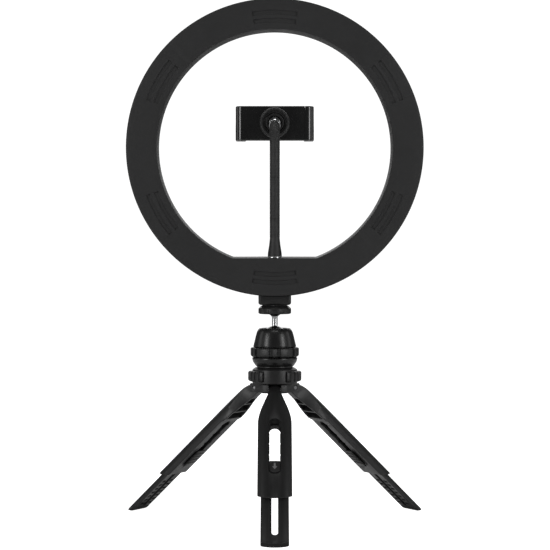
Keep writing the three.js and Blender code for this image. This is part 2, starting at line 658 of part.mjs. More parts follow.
function clipPieces() {
  const knurl = (angle) => ((angle / 7.5) % 2 < 1 ? 13.5 : 12.9);
  const lockNut = cut(
    solid(alongY(prism(ribbedOutline(knurl, 7.5), 18, 27.4))),
    solid(alongY(disc(8.7, 10, 40, 24))),
  );
  const socket = cut(
    solid(alongY(disc(8.2, 18.5, CLIP_BACK_Y - GAP, 18))),
    solid(new THREE.SphereGeometry(CLIP_BALL_RADIUS + 0.4, 14, 8).translate(0, CLIP_BALL_Y, 0)),
  );
  const spring = solid(alongX(disc(1.6, -29.4, -8.4, 10)).translate(0, RODS_Y, 0));
  const rod = (z) => solid(alongX(disc(1.1, -20, 31.8, 10)).translate(0, RODS_Y, z));
  const padEdge = CLIP_HALF - JAW_THICKNESS - GAP;
  const sidePad = (side) => {
    const faces = [side * (padEdge - 1), side * padEdge].sort((a, b) => a - b);
    return box([faces[0], 37.4, -12.8], [faces[1], 46.6, 12.8]);
  };
  const clip = new THREE.Group();
  clip.position.z = CLIP_Z;
  clip.add(
    named('clip_lock_nut', lockNut, satinBlack),
    named('clip_socket', socket, satinBlack),
    named('clip_back', clipBack(), glossBlack),
    named('clip_moving_jaw', clipMovingJaw(), glossBlack),
    named('guide_rod_1', rod(-9.5), steel),
    named('guide_rod_2', rod(9.5), steel),
    named('clip_spring', spring, steel),
    named('fixed_pad', sidePad(-1), rubberBlack),
    named('moving_pad', sidePad(1), rubberBlack),
    named('back_pad', box([-22, CLIP_FRONT_Y + GAP, -11], [22, CLIP_FRONT_Y + 1.5, 11]), rubberBlack),
  );
  return clip;
}

const ringLight = new THREE.Group();
ringLight.position.y = AXIS_Y;
ringLight.add(
  ringPieces(),
  ...mountPieces(),
  ...wheelPieces(),
  ...headPieces(),
  named('collar', collar(), satinBlack),
  named('hub', hub(), satinBlack),
  ...LEG_AZIMUTHS.map((azimuth, i) => legPieces(azimuth, i + 1)),
  armPieces(),
  clipPieces(),
);

export default ringLight;
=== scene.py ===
import json
import math

import bmesh
import bpy
from mathutils import Matrix, Vector


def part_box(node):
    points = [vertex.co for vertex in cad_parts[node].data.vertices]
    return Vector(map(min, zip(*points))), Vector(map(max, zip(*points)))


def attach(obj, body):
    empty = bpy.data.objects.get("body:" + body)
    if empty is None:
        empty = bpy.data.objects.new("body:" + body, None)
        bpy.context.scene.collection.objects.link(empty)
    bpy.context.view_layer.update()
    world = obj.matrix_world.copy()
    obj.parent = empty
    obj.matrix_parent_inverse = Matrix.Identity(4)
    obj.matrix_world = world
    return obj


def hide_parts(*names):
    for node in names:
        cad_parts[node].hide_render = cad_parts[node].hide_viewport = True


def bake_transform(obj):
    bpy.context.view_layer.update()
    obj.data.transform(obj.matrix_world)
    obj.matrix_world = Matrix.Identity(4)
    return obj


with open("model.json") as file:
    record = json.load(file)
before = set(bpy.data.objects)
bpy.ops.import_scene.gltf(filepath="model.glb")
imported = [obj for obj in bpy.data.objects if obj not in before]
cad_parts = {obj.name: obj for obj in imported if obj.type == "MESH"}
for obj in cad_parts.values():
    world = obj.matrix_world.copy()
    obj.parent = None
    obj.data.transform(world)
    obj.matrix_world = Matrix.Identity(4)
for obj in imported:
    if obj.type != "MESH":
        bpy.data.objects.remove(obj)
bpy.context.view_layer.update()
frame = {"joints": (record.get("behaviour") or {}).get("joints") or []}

# Ring light with a phone clip on a gooseneck, a ball head and a folding mini tripod.
# Shapes are drawn in millimetres and scaled to metres when a piece is finished.
MM = 0.001
TAU = 2 * math.pi
scene = bpy.context.scene
joints = {joint["name"]: joint for joint in frame["joints"]}


def box_mm(node):
    low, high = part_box(node)
    return low / MM, high / MM


AXIS_Y = joints["head_pan"]["pos_m"][1] / MM
RING_LOW, RING_HIGH = box_mm("ring_back_shell")
RING_Z = (RING_LOW.z + RING_HIGH.z) / 2
RING_OUTER = (RING_HIGH.x - RING_LOW.x) / 2
LEG_NUMBERS = (1, 2, 3)


# ---------------------------------------------------------------- camera and studio

CAMERA_DISTANCE = 1700
CAMERA_HEIGHT = 243.6
CAMERA_PITCH = 1.02
CAMERA_LENS = 128.4
AMBIENT = 0.1                 # light that the white surroundings give
WORLD_SEEN = 1.1              # how bright the camera sees them
PAPER_SEEN = 1.05             # how bright the camera sees the paper under the object
FLOOR_REACH = 6
SOFT_BOXES = (
    ("key_left", (-1.35, -1.15, 0.3), (0.45, 1.5), 14),
    ("key_right", (1.35, -1.15, 0.3), (0.45, 1.5), 14),
    ("side_left", (-1.7, 0.15, 0.4), (0.5, 1.5), 2.5),
    ("side_right", (1.7, 0.15, 0.4), (0.5, 1.5), 2.5),
    ("overhead", (0, 0.9, 1.6), (1.4, 0.6), 8),
    ("front_top", (0, -1.0, 1.75), (0.9, 0.25), 4),
    ("rear", (0, 1.6, 0.9), (1.6, 1.0), 8),
)


def make_camera():
    data = bpy.data.cameras.new("camera")
    data.lens = CAMERA_LENS
    data.sensor_width = 36
    data.clip_end = 50
    camera = bpy.data.objects.new("camera", data)
    camera.location = Vector((0.2, AXIS_Y - CAMERA_DISTANCE, CAMERA_HEIGHT)) * MM
    camera.rotation_euler = (math.radians(90 - CAMERA_PITCH), 0, 0)
    scene.collection.objects.link(camera)
    scene.camera = camera


def area_light(name, place, aim, size, power):
    data = bpy.data.lights.new(name, "AREA")
    data.shape = "RECTANGLE"
    data.size, data.size_y = size
    data.energy = power
    light = bpy.data.objects.new(name, data)
    light.location = place
    light.rotation_euler = (Vector(aim) - Vector(place)).to_track_quat("-Z", "Y").to_euler()
    scene.collection.objects.link(light)


def seen_by_camera(tree, seen, unseen):
    """A strength that is one value for what the camera sees directly and another for the light it gives."""
    path = new_node(tree, "ShaderNodeLightPath")
    return ramp_between(tree, path.outputs["Is Camera Ray"], 0, 1, unseen, seen)


def make_studio():
    """White paper all round, two tall soft boxes at the sides, one overhead and one behind."""
    scene.view_settings.view_transform = "Standard"
    world = bpy.data.worlds.new("studio")
    world.use_nodes = True
    tree = world.node_tree
    fill(tree, tree.nodes["Background"], {
        "Color": (1, 1, 1, 1), "Strength": seen_by_camera(tree, WORLD_SEEN, AMBIENT)})
    scene.world = world
    centre = (0, AXIS_Y * MM, 0.2)
    for name, place, size, power in SOFT_BOXES:
        area_light(name, place, centre, size, power)
    mesh = bpy.data.meshes.new("floor")
    corners = [(x * FLOOR_REACH, y * FLOOR_REACH, 0) for x, y in ((-1, -1), (1, -1), (1, 1), (-1, 1))]
    mesh.from_pydata(corners, [], [(0, 1, 2, 3)])
    floor = bpy.data.objects.new("floor", mesh)
    scene.collection.objects.link(floor)
    paper = bpy.data.materials.new("studio_paper")
    paper.use_nodes = True
    tree = paper.node_tree
    fill(tree, tree.nodes["Principled BSDF"], {
        "Base Color": (0.85, 0.85, 0.85, 1), "Roughness": 0.9, "Specular IOR Level": 0.1,
        "Emission Color": (1, 1, 1, 1), "Emission Strength": seen_by_camera(tree, PAPER_SEEN, 0)})
    mesh.materials.append(paper)


# ---------------------------------------------------------------- nodes

def fill(tree, node, inputs):
    """Sets the inputs of a node: each value is a plain value, or a socket to link from."""
    for label, value in inputs.items():
        if isinstance(value, bpy.types.NodeSocket):
            tree.links.new(value, node.inputs[label])
        else:
            node.inputs[label].default_value = value


def new_node(tree, kind, inputs=None, **settings):
    node = tree.nodes.new(kind)
    for name, value in settings.items():
        setattr(node, name, value)
    fill(tree, node, inputs or {})
    return node


def new_tree(name, kind, inputs, outputs):
    """A node group with its sockets, as (tree, outputs of its input node, its output node)."""
    tree = bpy.data.node_groups.new(name, kind)
    for label, socket_type, value in inputs:
        socket = tree.interface.new_socket(label, in_out="INPUT", socket_type=socket_type)
        if value is not None:
            socket.default_value = value
    for label, socket_type in outputs:
        tree.interface.new_socket(label, in_out="OUTPUT", socket_type=socket_type)
    return tree, tree.nodes.new("NodeGroupInput").outputs, tree.nodes.new("NodeGroupOutput")


# ---------------------------------------------------------------- effects shared by materials

FLOAT = "NodeSocketFloat"
VECTOR_IN = ("Vector", "NodeSocketVector", (0, 0, 0))


def noise(tree, vector, scale, detail=3, roughness=0.55):
    return new_node(tree, "ShaderNodeTexNoise", {
        "Vector": vector, "Scale": scale, "Detail": detail, "Roughness": roughness}).outputs["Fac"]


def ramp_between(tree, source, low, high, to_low, to_high):
    return new_node(tree, "ShaderNodeMapRange", {
        "Value": source, "From Min": low, "From Max": high, "To Min": to_low, "To Max": to_high,
    }).outputs["Result"]


def maths(tree, operation, first, second):
    return new_node(tree, "ShaderNodeMath", {0: first, 1: second}, operation=operation).outputs[0]


def moulded_grain_group():
    """Spark-eroded mould texture: a height for the bump and a slow cloud for colour."""
    group, given, result = new_tree("moulded_grain", "ShaderNodeTree", [
        VECTOR_IN, ("Grain Scale", FLOAT, 2500.0), ("Cloud Scale", FLOAT, 25.0),
    ], [("Height", FLOAT), ("Cloud", FLOAT)])
    grain = noise(group, given["Vector"], given["Grain Scale"], 4, 0.7)
    cells = new_node(group, "ShaderNodeTexVoronoi", {
        "Vector": given["Vector"], "Scale": given["Grain Scale"]}, feature="SMOOTH_F1")
    cloud = noise(group, given["Vector"], given["Cloud Scale"])
    fill(group, result, {
        "Height": maths(group, "ADD", grain, cells.outputs["Distance"]),
        "Cloud": ramp_between(group, cloud, 0.3, 0.7, 0, 1),
    })
    return group


def edge_wear_group():
    """A mask that is bright on outside corners, where handling has polished them."""
    group, given, result = new_tree(
        "edge_wear", "ShaderNodeTree", [VECTOR_IN, ("Amount", FLOAT, 0.5)], [("Mask", FLOAT)])
    geometry = new_node(group, "ShaderNodeNewGeometry")
    corner = ramp_between(group, geometry.outputs["Pointiness"], 0.52, 0.62, 0, 1)
    patches = ramp_between(group, noise(group, given["Vector"], 120), 0.35, 0.6, 0.3, 1)
    broken = maths(group, "MULTIPLY", corner, patches)
    fill(group, result, {"Mask": maths(group, "MULTIPLY", broken, given["Amount"])})
    return group


def handling_group():
    """Faint smudges and fine hairline scratches that change only the gloss."""
    group, given, result = new_tree(
        "handling_marks", "ShaderNodeTree", [VECTOR_IN, ("Smudge Scale", FLOAT, 40.0)], [("Mask", FLOAT)])
    smudge = noise(group, given["Vector"], given["Smudge Scale"], 5, 0.6)
    stretch = new_node(group, "ShaderNodeMapping", {
        "Vector": given["Vector"], "Scale": (900, 60, 900), "Rotation": (0.3, 0.5, 0.8)})
    lines = ramp_between(group, noise(group, stretch.outputs["Vector"], 1, 2), 0.62, 0.7, 0, 0.6)
    clouds = ramp_between(group, smudge, 0.45, 0.7, 0, 1)
    fill(group, result, {"Mask": maths(group, "MAXIMUM", lines, clouds)})
    return group


GRAIN = moulded_grain_group()
WEAR = edge_wear_group()
HANDLING = handling_group()


def grouped(tree, group, vector, **values):
    """Places a shared effect and returns its outputs."""
    node = new_node(tree, "ShaderNodeGroup", node_tree=group)
    fill(tree, node, {"Vector": vector, **{name.replace("_", " "): value for name, value in values.items()}})
    return node.outputs


def mix_colours(tree, mask, first, second):
    colours = [(*value, 1) if isinstance(value, tuple) else value for value in (first, second)]
    node = new_node(tree, "ShaderNodeMix", data_type="RGBA")
    fill(tree, node, {"Factor": mask, 6: colours[0], 7: colours[1]})
    return node.outputs[2]


def grey(value):
    return (value, value, value * 1.015)


def new_material(name):
    material = bpy.data.materials.new(name)
    material.use_nodes = True
    tree = material.node_tree
    position = new_node(tree, "ShaderNodeTexCoord").outputs["Object"]
    return material, tree, tree.nodes["Principled BSDF"], position


def bumped(tree, height, strength, distance):
    return new_node(tree, "ShaderNodeBump", {
        "Height": height, "Strength": strength, "Distance": distance}).outputs["Normal"]


def moulded(name, dark, light, gloss, grain=(2500, 0.25, 0.0001), wear=0.5, sheen=0, coat=0, specular=0.5):
    """Moulded plastic or rubber: dark and light are its shades, gloss its lowest and highest roughness."""
    material, tree, shader, vector = new_material(name)
    grain_scale, strength, distance = grain
    texture = grouped(tree, GRAIN, vector, Grain_Scale=grain_scale, Cloud_Scale=22.0)
    corners = grouped(tree, WEAR, vector, Amount=wear)
    marks = grouped(tree, HANDLING, vector, Smudge_Scale=45.0)
    body = mix_colours(tree, texture["Cloud"], grey(dark), grey(light))
    fill(tree, shader, {
        "Base Color": mix_colours(tree, corners["Mask"], body, grey(light * 1.7 + 0.004)),
        "Roughness": ramp_between(tree, marks["Mask"], 0, 1, gloss[1], gloss[0]),
        "Specular IOR Level": specular, "Sheen Weight": sheen, "Coat Weight": coat, "Coat Roughness": 0.08,
        "Normal": bumped(tree, texture["Height"], strength, distance),
    })
    return material


def metal(name, colour, gloss, turning=0.0):
    """Turned or plated metal: fine lathe lines where turning is above 0, faint smudges on all."""
    material, tree, shader, vector = new_material(name)
    marks = grouped(tree, HANDLING, vector, Smudge_Scale=90.0)["Mask"]
    dull = tuple(channel * 0.86 for channel in colour)
    fill(tree, shader, {
        "Base Color": mix_colours(tree, marks, colour, dull),
        "Roughness": ramp_between(tree, marks, 0, 1, *gloss), "Metallic": 1,
    })
    if turning:
        lines = new_node(tree, "ShaderNodeTexWave", {
            "Vector": vector, "Scale": 900, "Distortion": 1.5}, bands_direction="Z")
        fill(tree, shader, {"Normal": bumped(tree, lines.outputs["Fac"], turning, 0.00004)})
    return material


def milky(name):
    """Diffusing acrylic: pale, slightly clouded and faintly translucent."""
    material, tree, shader, vector = new_material(name)
    texture = grouped(tree, GRAIN, vector, Grain_Scale=3500.0, Cloud_Scale=12.0)
    fill(tree, shader, {
        "Base Color": mix_colours(tree, texture["Cloud"], (0.86, 0.86, 0.84), (0.9, 0.9, 0.88)),
        "Roughness": 0.38, "Transmission Weight": 0.12,
        "Subsurface Weight": 0.3, "Subsurface Scale": 0.004,
        "Normal": bumped(tree, texture["Height"], 0.12, 0.00005),
    })
    return material


def circuit_board(name, base, trace):
    """Solder mask with faint copper tracks under it."""
    material, tree, shader, vector = new_material(name)
    tracks = new_node(tree, "ShaderNodeTexBrick", {
        "Vector": vector, "Scale": 160, "Mortar Size": 0.03}).outputs["Fac"]
    fill(tree, shader, {
        "Base Color": mix_colours(tree, tracks, base, trace), "Roughness": 0.35,
        "Normal": bumped(tree, tracks, 0.3, 0.00003),
    })
    return material


HOUSING = moulded("housing_matte_black", 0.022, 0.026, (0.5, 0.6), (1500, 0.35, 0.00012), wear=0.15,
                  specular=0.28)
SATIN = moulded("satin_black_nylon", 0.006, 0.009, (0.34, 0.42), (2200, 0.3, 0.0001), wear=0.35,
                specular=0.45)
HEAD_BLACK = moulded("head_black_anodised", 0.005, 0.007, (0.24, 0.31), (3000, 0.15, 0.00004), wear=0.3)
GLOSS = moulded("gloss_black_abs", 0.004, 0.006, (0.16, 0.24), (4000, 0.08, 0.00003), wear=0.2, coat=0.4)
RUBBER = moulded("soft_rubber", 0.006, 0.009, (0.7, 0.85), (1800, 0.5, 0.0001), wear=0.2, sheen=0.1,
                 specular=0.3)
SLEEVE = moulded("arm_sleeve_rubber", 0.017, 0.022, (0.46, 0.56), (2600, 0.3, 0.00008), wear=0.4,
                 specular=0.45)
WHITE = moulded("white_acetal", 0.70, 0.76, (0.4, 0.5), (2500, 0.1, 0.00005), wear=0)
CHROME = metal("chrome_plate", (0.50, 0.505, 0.51), (0.15, 0.25))
STEEL = metal("zinc_steel", (0.60, 0.61, 0.62), (0.24, 0.36), turning=0.25)
PIN_STEEL = metal("blackened_steel", (0.16, 0.16, 0.165), (0.3, 0.42), turning=0.2)
BRASS = metal("turned_brass", (0.72, 0.52, 0.22), (0.22, 0.34), turning=0.3)
MILKY = milky("milky_acrylic")
BOARD = circuit_board("driver_board_green", (0.010, 0.07, 0.03), (0.02, 0.13, 0.05))
LED_BOARD = circuit_board("led_board_white", (0.75, 0.75, 0.72), (0.62, 0.62, 0.58))
PRINT = moulded("raised_mark_grey", 0.14, 0.18, (0.45, 0.55), wear=0)


# ---------------------------------------------------------------- shape tools

def new_piece(name, vertices, faces):
    mesh = bpy.data.meshes.new(name)
    mesh.from_pydata([tuple(v) for v in vertices], [], faces)
    mesh.update()
    piece = bpy.data.objects.new(name, mesh)
    scene.collection.objects.link(piece)
    return piece


def loft(name, loops, around=True, along=False, caps=True):
    """Skins a row of loops with the same number of points.

    around closes each loop, and along joins the last loop to the first."""
    count = len(loops[0])
    vertices = [point for loop in loops for point in loop]
    faces = []
    for i in range(len(loops) if along else len(loops) - 1):
        low, high = i * count, (i + 1) % len(loops) * count
        for j in range(count if around else count - 1):
            k = (j + 1) % count
            faces.append((low + j, low + k, high + k, high + j))
    if caps and not along:
        faces.append(tuple(range(count - 1, -1, -1)))
        faces.append(tuple(range((len(loops) - 1) * count, len(loops) * count)))
    piece = new_piece(name, vertices, faces)
    tidy(piece)
    return piece


def tidy(piece, merge=1e-4):
    """Welds doubles, drops collapsed faces and turns every face outwards."""
    work = bmesh.new()
    work.from_mesh(piece.data)
    bmesh.ops.remove_doubles(work, verts=work.verts, dist=merge)
    bmesh.ops.dissolve_degenerate(work, edges=work.edges, dist=merge)
    bmesh.ops.recalc_face_normals(work, faces=work.faces)
    work.to_mesh(piece.data)
    work.free()


def fillet(points, closed=True, steps=4):
    """Rounds the corners of a flat outline. A point is (x, y), or (x, y, radius) where it is rounded."""
    result = []
    count = len(points)
    for i, point in enumerate(points):
        here = Vector(point[:2])
        radius = point[2] if len(point) > 2 else 0
        if not radius or (not closed and i in (0, count - 1)):
            result.append(tuple(here))
            continue
        before = Vector(points[i - 1][:2]) - here
        after = Vector(points[(i + 1) % count][:2]) - here
        half = before.angle(after) / 2
        back = min(radius / math.tan(half), before.length * 0.49, after.length * 0.49)
        start, end = here + before.normalized() * back, here + after.normalized() * back
        for step in range(steps + 1):
            t = step / steps
            curve = start * (1 - t) ** 2 + here * 2 * t * (1 - t) + end * t * t
            result.append(tuple(curve))
    return result


NEAR_AXIS = 0.01              # radius at which a turned profile stops, so that no face has zero width


def lathe(name, profile, segments=96, centre=(0, 0), steps=4):
    """Turns a closed (radius, height) profile about the vertical axis through centre."""
    outline = fillet(profile, steps=steps)
    loops = []
    for i in range(segments):
        angle = TAU * i / segments
        x, y = math.cos(angle), math.sin(angle)
        loops.append([(centre[0] + r * x, centre[1] + r * y, z) for r, z in outline])
    return loft(name, loops, along=True)


def on_axis(name, profile, segments=96):
    """A turned piece about the tripod's axis."""
    return lathe(name, profile, segments, (0, AXIS_Y))


def prism(name, outline, low, high):
    """Raises a flat (x, y) outline from low to high."""
    loops = [[(x, y, z) for x, y in outline] for z in (low, high)]
    return loft(name, loops)


def turned_outline(radius_at, segments):
    points = []
    for i in range(segments):
        angle = TAU * i / segments
        radius = radius_at(math.degrees(angle))
        points.append((radius * math.cos(angle), radius * math.sin(angle)))
    return points


def ribbed_ring(name, radius_at, levels, bore, segments=360):
    """A ring whose outside follows radius_at. Each level is (height, how far its edge is drawn in)."""
    loops = []
    inside = [(bore + 0.4, levels[-1][0]), (bore, levels[-1][0] - 0.4),
              (bore, levels[0][0] + 0.4), (bore + 0.4, levels[0][0])]
    for height, inset in levels:
        outline = turned_outline(lambda angle: radius_at(angle) - inset, segments)
        loops.append([(x, y, height) for x, y in outline])
    for radius, height in inside:
        outline = turned_outline(lambda angle: radius, segments)
        loops.append([(x, y, height) for x, y in outline])
    return loft(name, loops, along=True)


def block(name, low, high):
    """A box between two corners."""
    outline = [(low[0], low[1]), (high[0], low[1]), (high[0], high[1]), (low[0], high[1])]
    return prism(name, outline, low[2], high[2])


def slot_outline(start, end, half, steps=16):
    points = []
    for centre, turn in ((end - half, -90), (start + half, 90)):
        for step in range(steps + 1):
            angle = math.radians(turn + 180 * step / steps)
            points.append((centre + half * math.cos(angle), half * math.sin(angle)))
    return points


def apply_modifiers(piece):
    """Turns the evaluated piece into a plain mesh."""
    bpy.context.view_layer.update()
    evaluated = piece.evaluated_get(bpy.context.evaluated_depsgraph_get())
    mesh = bpy.data.meshes.new_from_object(evaluated)
    piece.modifiers.clear()
    piece.data = mesh


def combine(piece, tools, operation):
    for tool in tools:
        modifier = piece.modifiers.new(operation.lower(), "BOOLEAN")
        modifier.operation = operation
        modifier.solver = "EXACT"
        modifier.object = tool
    apply_modifiers(piece)
    for tool in tools:
        bpy.data.objects.remove(tool)
    tidy(piece)
    return piece


def cut(piece, *tools):
    return combine(piece, tools, "DIFFERENCE")


def fuse(piece, *tools):
    return combine(piece, tools, "UNION")


def round_edges(piece, width, segments=2, angle=32):
    """Rounds every edge sharper than the angle."""
    work = bmesh.new()
    work.from_mesh(piece.data)
    bmesh.ops.dissolve_limit(work, angle_limit=math.radians(0.5), verts=work.verts, edges=work.edges)
    work.to_mesh(piece.data)
    work.free()
    modifier = piece.modifiers.new("round", "BEVEL")
    modifier.width = width
    modifier.segments = segments
    modifier.limit_method = "ANGLE"
    modifier.angle_limit = math.radians(angle)
    modifier.use_clamp_overlap = True
    apply_modifiers(piece)
    return piece


def merge_pieces(piece, *others):
    """Puts the others' meshes into the first piece as separate shells."""
    work = bmesh.new()
    for source in (piece, *others):
        work.from_mesh(source.data)
    work.to_mesh(piece.data)
    work.free()
    for other in others:
        bpy.data.objects.remove(other)
    return piece


def moved(piece, matrix):
    piece.data.transform(matrix)
    if matrix.determinant() < 0:
        piece.data.flip_normals()
    return piece


def shift(piece, x=0, y=0, z=0):
    return moved(piece, Matrix.Translation((x, y, z)))


def smooth(piece, angle=38):
    """Smooth shading that breaks at edges sharper than the angle."""
    work = bmesh.new()
    work.from_mesh(piece.data)
    for face in work.faces:
        face.smooth = True
    for edge in work.edges:
        edge.smooth = len(edge.link_faces) == 2 and edge.calc_face_angle(0) < math.radians(angle)
    work.to_mesh(piece.data)
    work.free()


def finish_piece(piece, body, material, node=None, sharp=38, bends=None):
    """Scales a piece to metres and ties it to its body in place of a CAD node; where bends is given, it is left
    in place and tied to no body.
    """
    if len(piece.data.materials) == 0:
        piece.data.materials.append(material)
    piece.data.transform(Matrix.Scale(MM, 4))
    smooth(piece, sharp)
    if node:
        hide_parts(node)
    if bends:
        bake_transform(piece)
    else:
        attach(piece, body)


# ---------------------------------------------------------------- geometry nodes

INT = "NodeSocketInt"
GEOMETRY = "NodeSocketGeometry"


def geometry_tree(name, inputs):
    sockets = [("Geometry", GEOMETRY, None), *inputs, ("Material", "NodeSocketMaterial", None)]
    return new_tree(name, "GeometryNodeTree", sockets, [("Geometry", GEOMETRY)])


def end_tree(tree, given, result, instances):
    realize = new_node(tree, "GeometryNodeRealizeInstances", {"Geometry": instances})
    finish = new_node(tree, "GeometryNodeSetMaterial", {
        "Geometry": realize.outputs["Geometry"], "Material": given["Material"]})
    fill(tree, result, {"Geometry": finish.outputs["Geometry"]})
    return tree


def ring_of_bars_tree():
    """Upright bars evenly round a circle: knurls, ribs and light chips."""
    tree, given, result = geometry_tree("ring_of_bars", [
        ("Count", INT, 48), ("Circle Radius", FLOAT, 14.0), ("Bar Radius", FLOAT, 0.6),
        ("Bar Height", FLOAT, 4.0), ("Bar Sides", INT, 8)])
    circle = new_node(tree, "GeometryNodeMeshCircle", {
        "Vertices": given["Count"], "Radius": given["Circle Radius"]})
    bar = new_node(tree, "GeometryNodeMeshCylinder", {
        "Radius": given["Bar Radius"], "Depth": given["Bar Height"], "Vertices": given["Bar Sides"]})
    outwards = new_node(tree, "GeometryNodeInputPosition").outputs["Position"]
    turn = new_node(tree, "FunctionNodeAlignEulerToVector", {"Vector": outwards}, axis="X", pivot_axis="Z")
    copies = new_node(tree, "GeometryNodeInstanceOnPoints", {
        "Points": circle.outputs["Mesh"], "Instance": bar.outputs["Mesh"],
        "Rotation": turn.outputs["Rotation"]})
    return end_tree(tree, given, result, copies.outputs["Instances"])


def rings_on_path_tree():
    """Round beads threaded on a curve at an even pitch, such as the ribs of a flexible sleeve."""
    tree, given, result = geometry_tree("rings_on_path", [
        ("Pitch", FLOAT, 2.0), ("Ring Radius", FLOAT, 4.0), ("Bead Radius", FLOAT, 0.5)])
    points = new_node(tree, "GeometryNodeCurveToPoints", {
        "Curve": given["Geometry"], "Length": given["Pitch"]}, mode="LENGTH")
    ring, bead = (
        new_node(tree, "GeometryNodeCurvePrimitiveCircle", {"Resolution": sides, "Radius": given[radius]})
        for sides, radius in ((32, "Ring Radius"), (8, "Bead Radius")))
    sweep = new_node(tree, "GeometryNodeCurveToMesh", {
        "Curve": ring.outputs["Curve"], "Profile Curve": bead.outputs["Curve"]})
    copies = new_node(tree, "GeometryNodeInstanceOnPoints", {
        "Points": points.outputs["Points"], "Instance": sweep.outputs["Mesh"],
        "Rotation": points.outputs["Rotation"]})
    return end_tree(tree, given, result, copies.outputs["Instances"])


RING_OF_BARS = ring_of_bars_tree()
RINGS_ON_PATH = rings_on_path_tree()


def grow(name, tree, source, **values):
    """Runs a geometry tree on a source object and returns the result as a plain mesh piece."""
    carrier = bpy.data.objects.new(name, source)
    scene.collection.objects.link(carrier)
    modifier = carrier.modifiers.new("grow", "NODES")
    modifier.node_group = tree
    for item in tree.interface.items_tree:
        if item.in_out == "INPUT" and item.name in values:
            modifier[item.identifier] = values[item.name]
    bpy.context.view_layer.update()
    evaluated = carrier.evaluated_get(bpy.context.evaluated_depsgraph_get())
    mesh = bpy.data.meshes.new_from_object(evaluated)
    bpy.data.objects.remove(carrier)
    piece = bpy.data.objects.new(name, mesh)
    scene.collection.objects.link(piece)
    tidy(piece)
    return piece


def bars(name, material, count, circle, radius, height, sides=8):
    return grow(name, RING_OF_BARS, bpy.data.meshes.new(name), **{
        "Count": count, "Circle Radius": circle, "Bar Radius": radius, "Bar Height": height,
        "Bar Sides": sides, "Material": material})


def path_curve(name, points):
    curve = bpy.data.curves.new(name, "CURVE")
    curve.dimensions = "3D"
    spline = curve.splines.new("POLY")
    spline.points.add(len(points) - 1)
    for target, point in zip(spline.points, points):
        target.co = (*point, 1)
    return curve


# ---------------------------------------------------------------- ring

RING_BACK_Y = RING_LOW.y
RING_FRONT_Y = RING_HIGH.y
OPENING_RADIUS = 102.2        # at the back; the inner wall leans in towards the front
OPENING_LEAN = 1.4
CHORD_DROP = 95.5
GROOVE_RADII = (109.5, 116.5)
GROOVE_HALF_WIDTH = 1.9
GROOVE_HALF_ANGLE = 9.6
GROOVE_DEPTH = 1.2
GROOVE_AZIMUTHS = tuple(range(30, 390, 60))


def opening_radius(angle):
    """Radius of the opening at an angle in degrees: a circle with a flat at the bottom."""
    from_down = abs((angle + 90 + 180) % 360 - 180)
    if from_down > 45:
        return OPENING_RADIUS
    return min(OPENING_RADIUS, CHORD_DROP / math.cos(math.radians(from_down)))


def ring_angles(step=0.75):
    """Angles round the ring, with close pairs where the grooves end and where the flat begins."""
    angles = [i * step for i in range(int(360 / step))]
    corner = math.degrees(math.acos(CHORD_DROP / OPENING_RADIUS))
    marks = [270 - corner, 270 + corner]
    for azimuth in GROOVE_AZIMUTHS:
        for side in (-1, 1):
            marks += [azimuth + side * GROOVE_HALF_ANGLE, azimuth + side * (GROOVE_HALF_ANGLE - 0.12)]
    marks = [mark % 360 for mark in marks]
    kept = [a for a in angles if all(abs(a - mark) > 0.3 for mark in marks)]
    return sorted(kept + marks)


def groove_share(angle):
    """1 inside a groove, 0 outside it, with steep ends."""
    nearest = min(abs((angle - azimuth + 180) % 360 - 180) for azimuth in GROOVE_AZIMUTHS)
    return min(1, max(0, (GROOVE_HALF_ANGLE - nearest) / 0.12))


def ring_section(angle):
    """Closed cross-section of the housing as (radius, y), starting on the front edge of the opening."""
    inner = opening_radius(angle)
    back, front = RING_BACK_Y, RING_FRONT_Y
    wall = 2.0
    depth = GROOVE_DEPTH * groove_share(angle)
    section = [
        (inner - OPENING_LEAN + 0.5, front), (inner - OPENING_LEAN + 0.12, front - 0.14),
        (inner - OPENING_LEAN, front - 0.5), (inner - 0.1, back + 0.9),
        (inner + 0.1, back + 0.35), (inner + 0.35, back + 0.1), (inner + 0.9, back),
    ]
    for radius in GROOVE_RADII:
        low, high = radius - GROOVE_HALF_WIDTH, radius + GROOVE_HALF_WIDTH
        section += [
            (low - 0.2, back), (low, back + 0.12 * depth), (low + 0.12, back + 0.92 * depth),
            (low + 0.3, back + depth), (high - 0.3, back + depth), (high - 0.12, back + 0.92 * depth),
            (high, back + 0.12 * depth), (high + 0.2, back),
        ]
    outer = RING_OUTER
    section += [
        (outer - 1.6, back), (outer - 0.8, back + 0.14), (outer - 0.3, back + 0.5), (outer - 0.04, back + 1.1),
        (outer, back + 1.8), (outer, front - 0.6), (outer - 0.15, front - 0.15), (outer - 0.5, front),
        (outer - wall, front), (outer - wall, back + 3.4), (inner + wall, back + 3.4),
        (inner + wall, front),
    ]
    return section


def ring_point(angle, radius, y):
    turn = math.radians(angle)
    return (radius * math.cos(turn), y, RING_Z + radius * math.sin(turn))


def make_ring_shell():
    loops = [[ring_point(a, r, y) for r, y in ring_section(a)] for a in ring_angles()]
    shell = loft("ring_housing", loops, along=True)
    finish_piece(shell, "ring", HOUSING, "ring_back_shell", sharp=30)


def make_diffuser():
    low, high = box_mm("ring_diffuser")
    outer = (high.x - low.x) / 2

    def section(angle):
        inner = opening_radius(angle) + 2.3
        middle = (inner + outer) / 2
        face = RING_FRONT_Y - 0.25
        return [
            (inner, face - 0.5), (inner, low.y), (outer, low.y), (outer, face - 0.5),
            (outer - 0.2, face - 0.15), (outer - 0.7, face), (middle, face + 0.2),
            (inner + 0.7, face), (inner + 0.2, face - 0.15),
        ]

    loops = [[ring_point(a, r, y) for r, y in section(a)] for a in ring_angles(1.5)]
    cover = loft("ring_diffuser_cover", loops, along=True)
    finish_piece(cover, "ring", MILKY, "ring_diffuser")


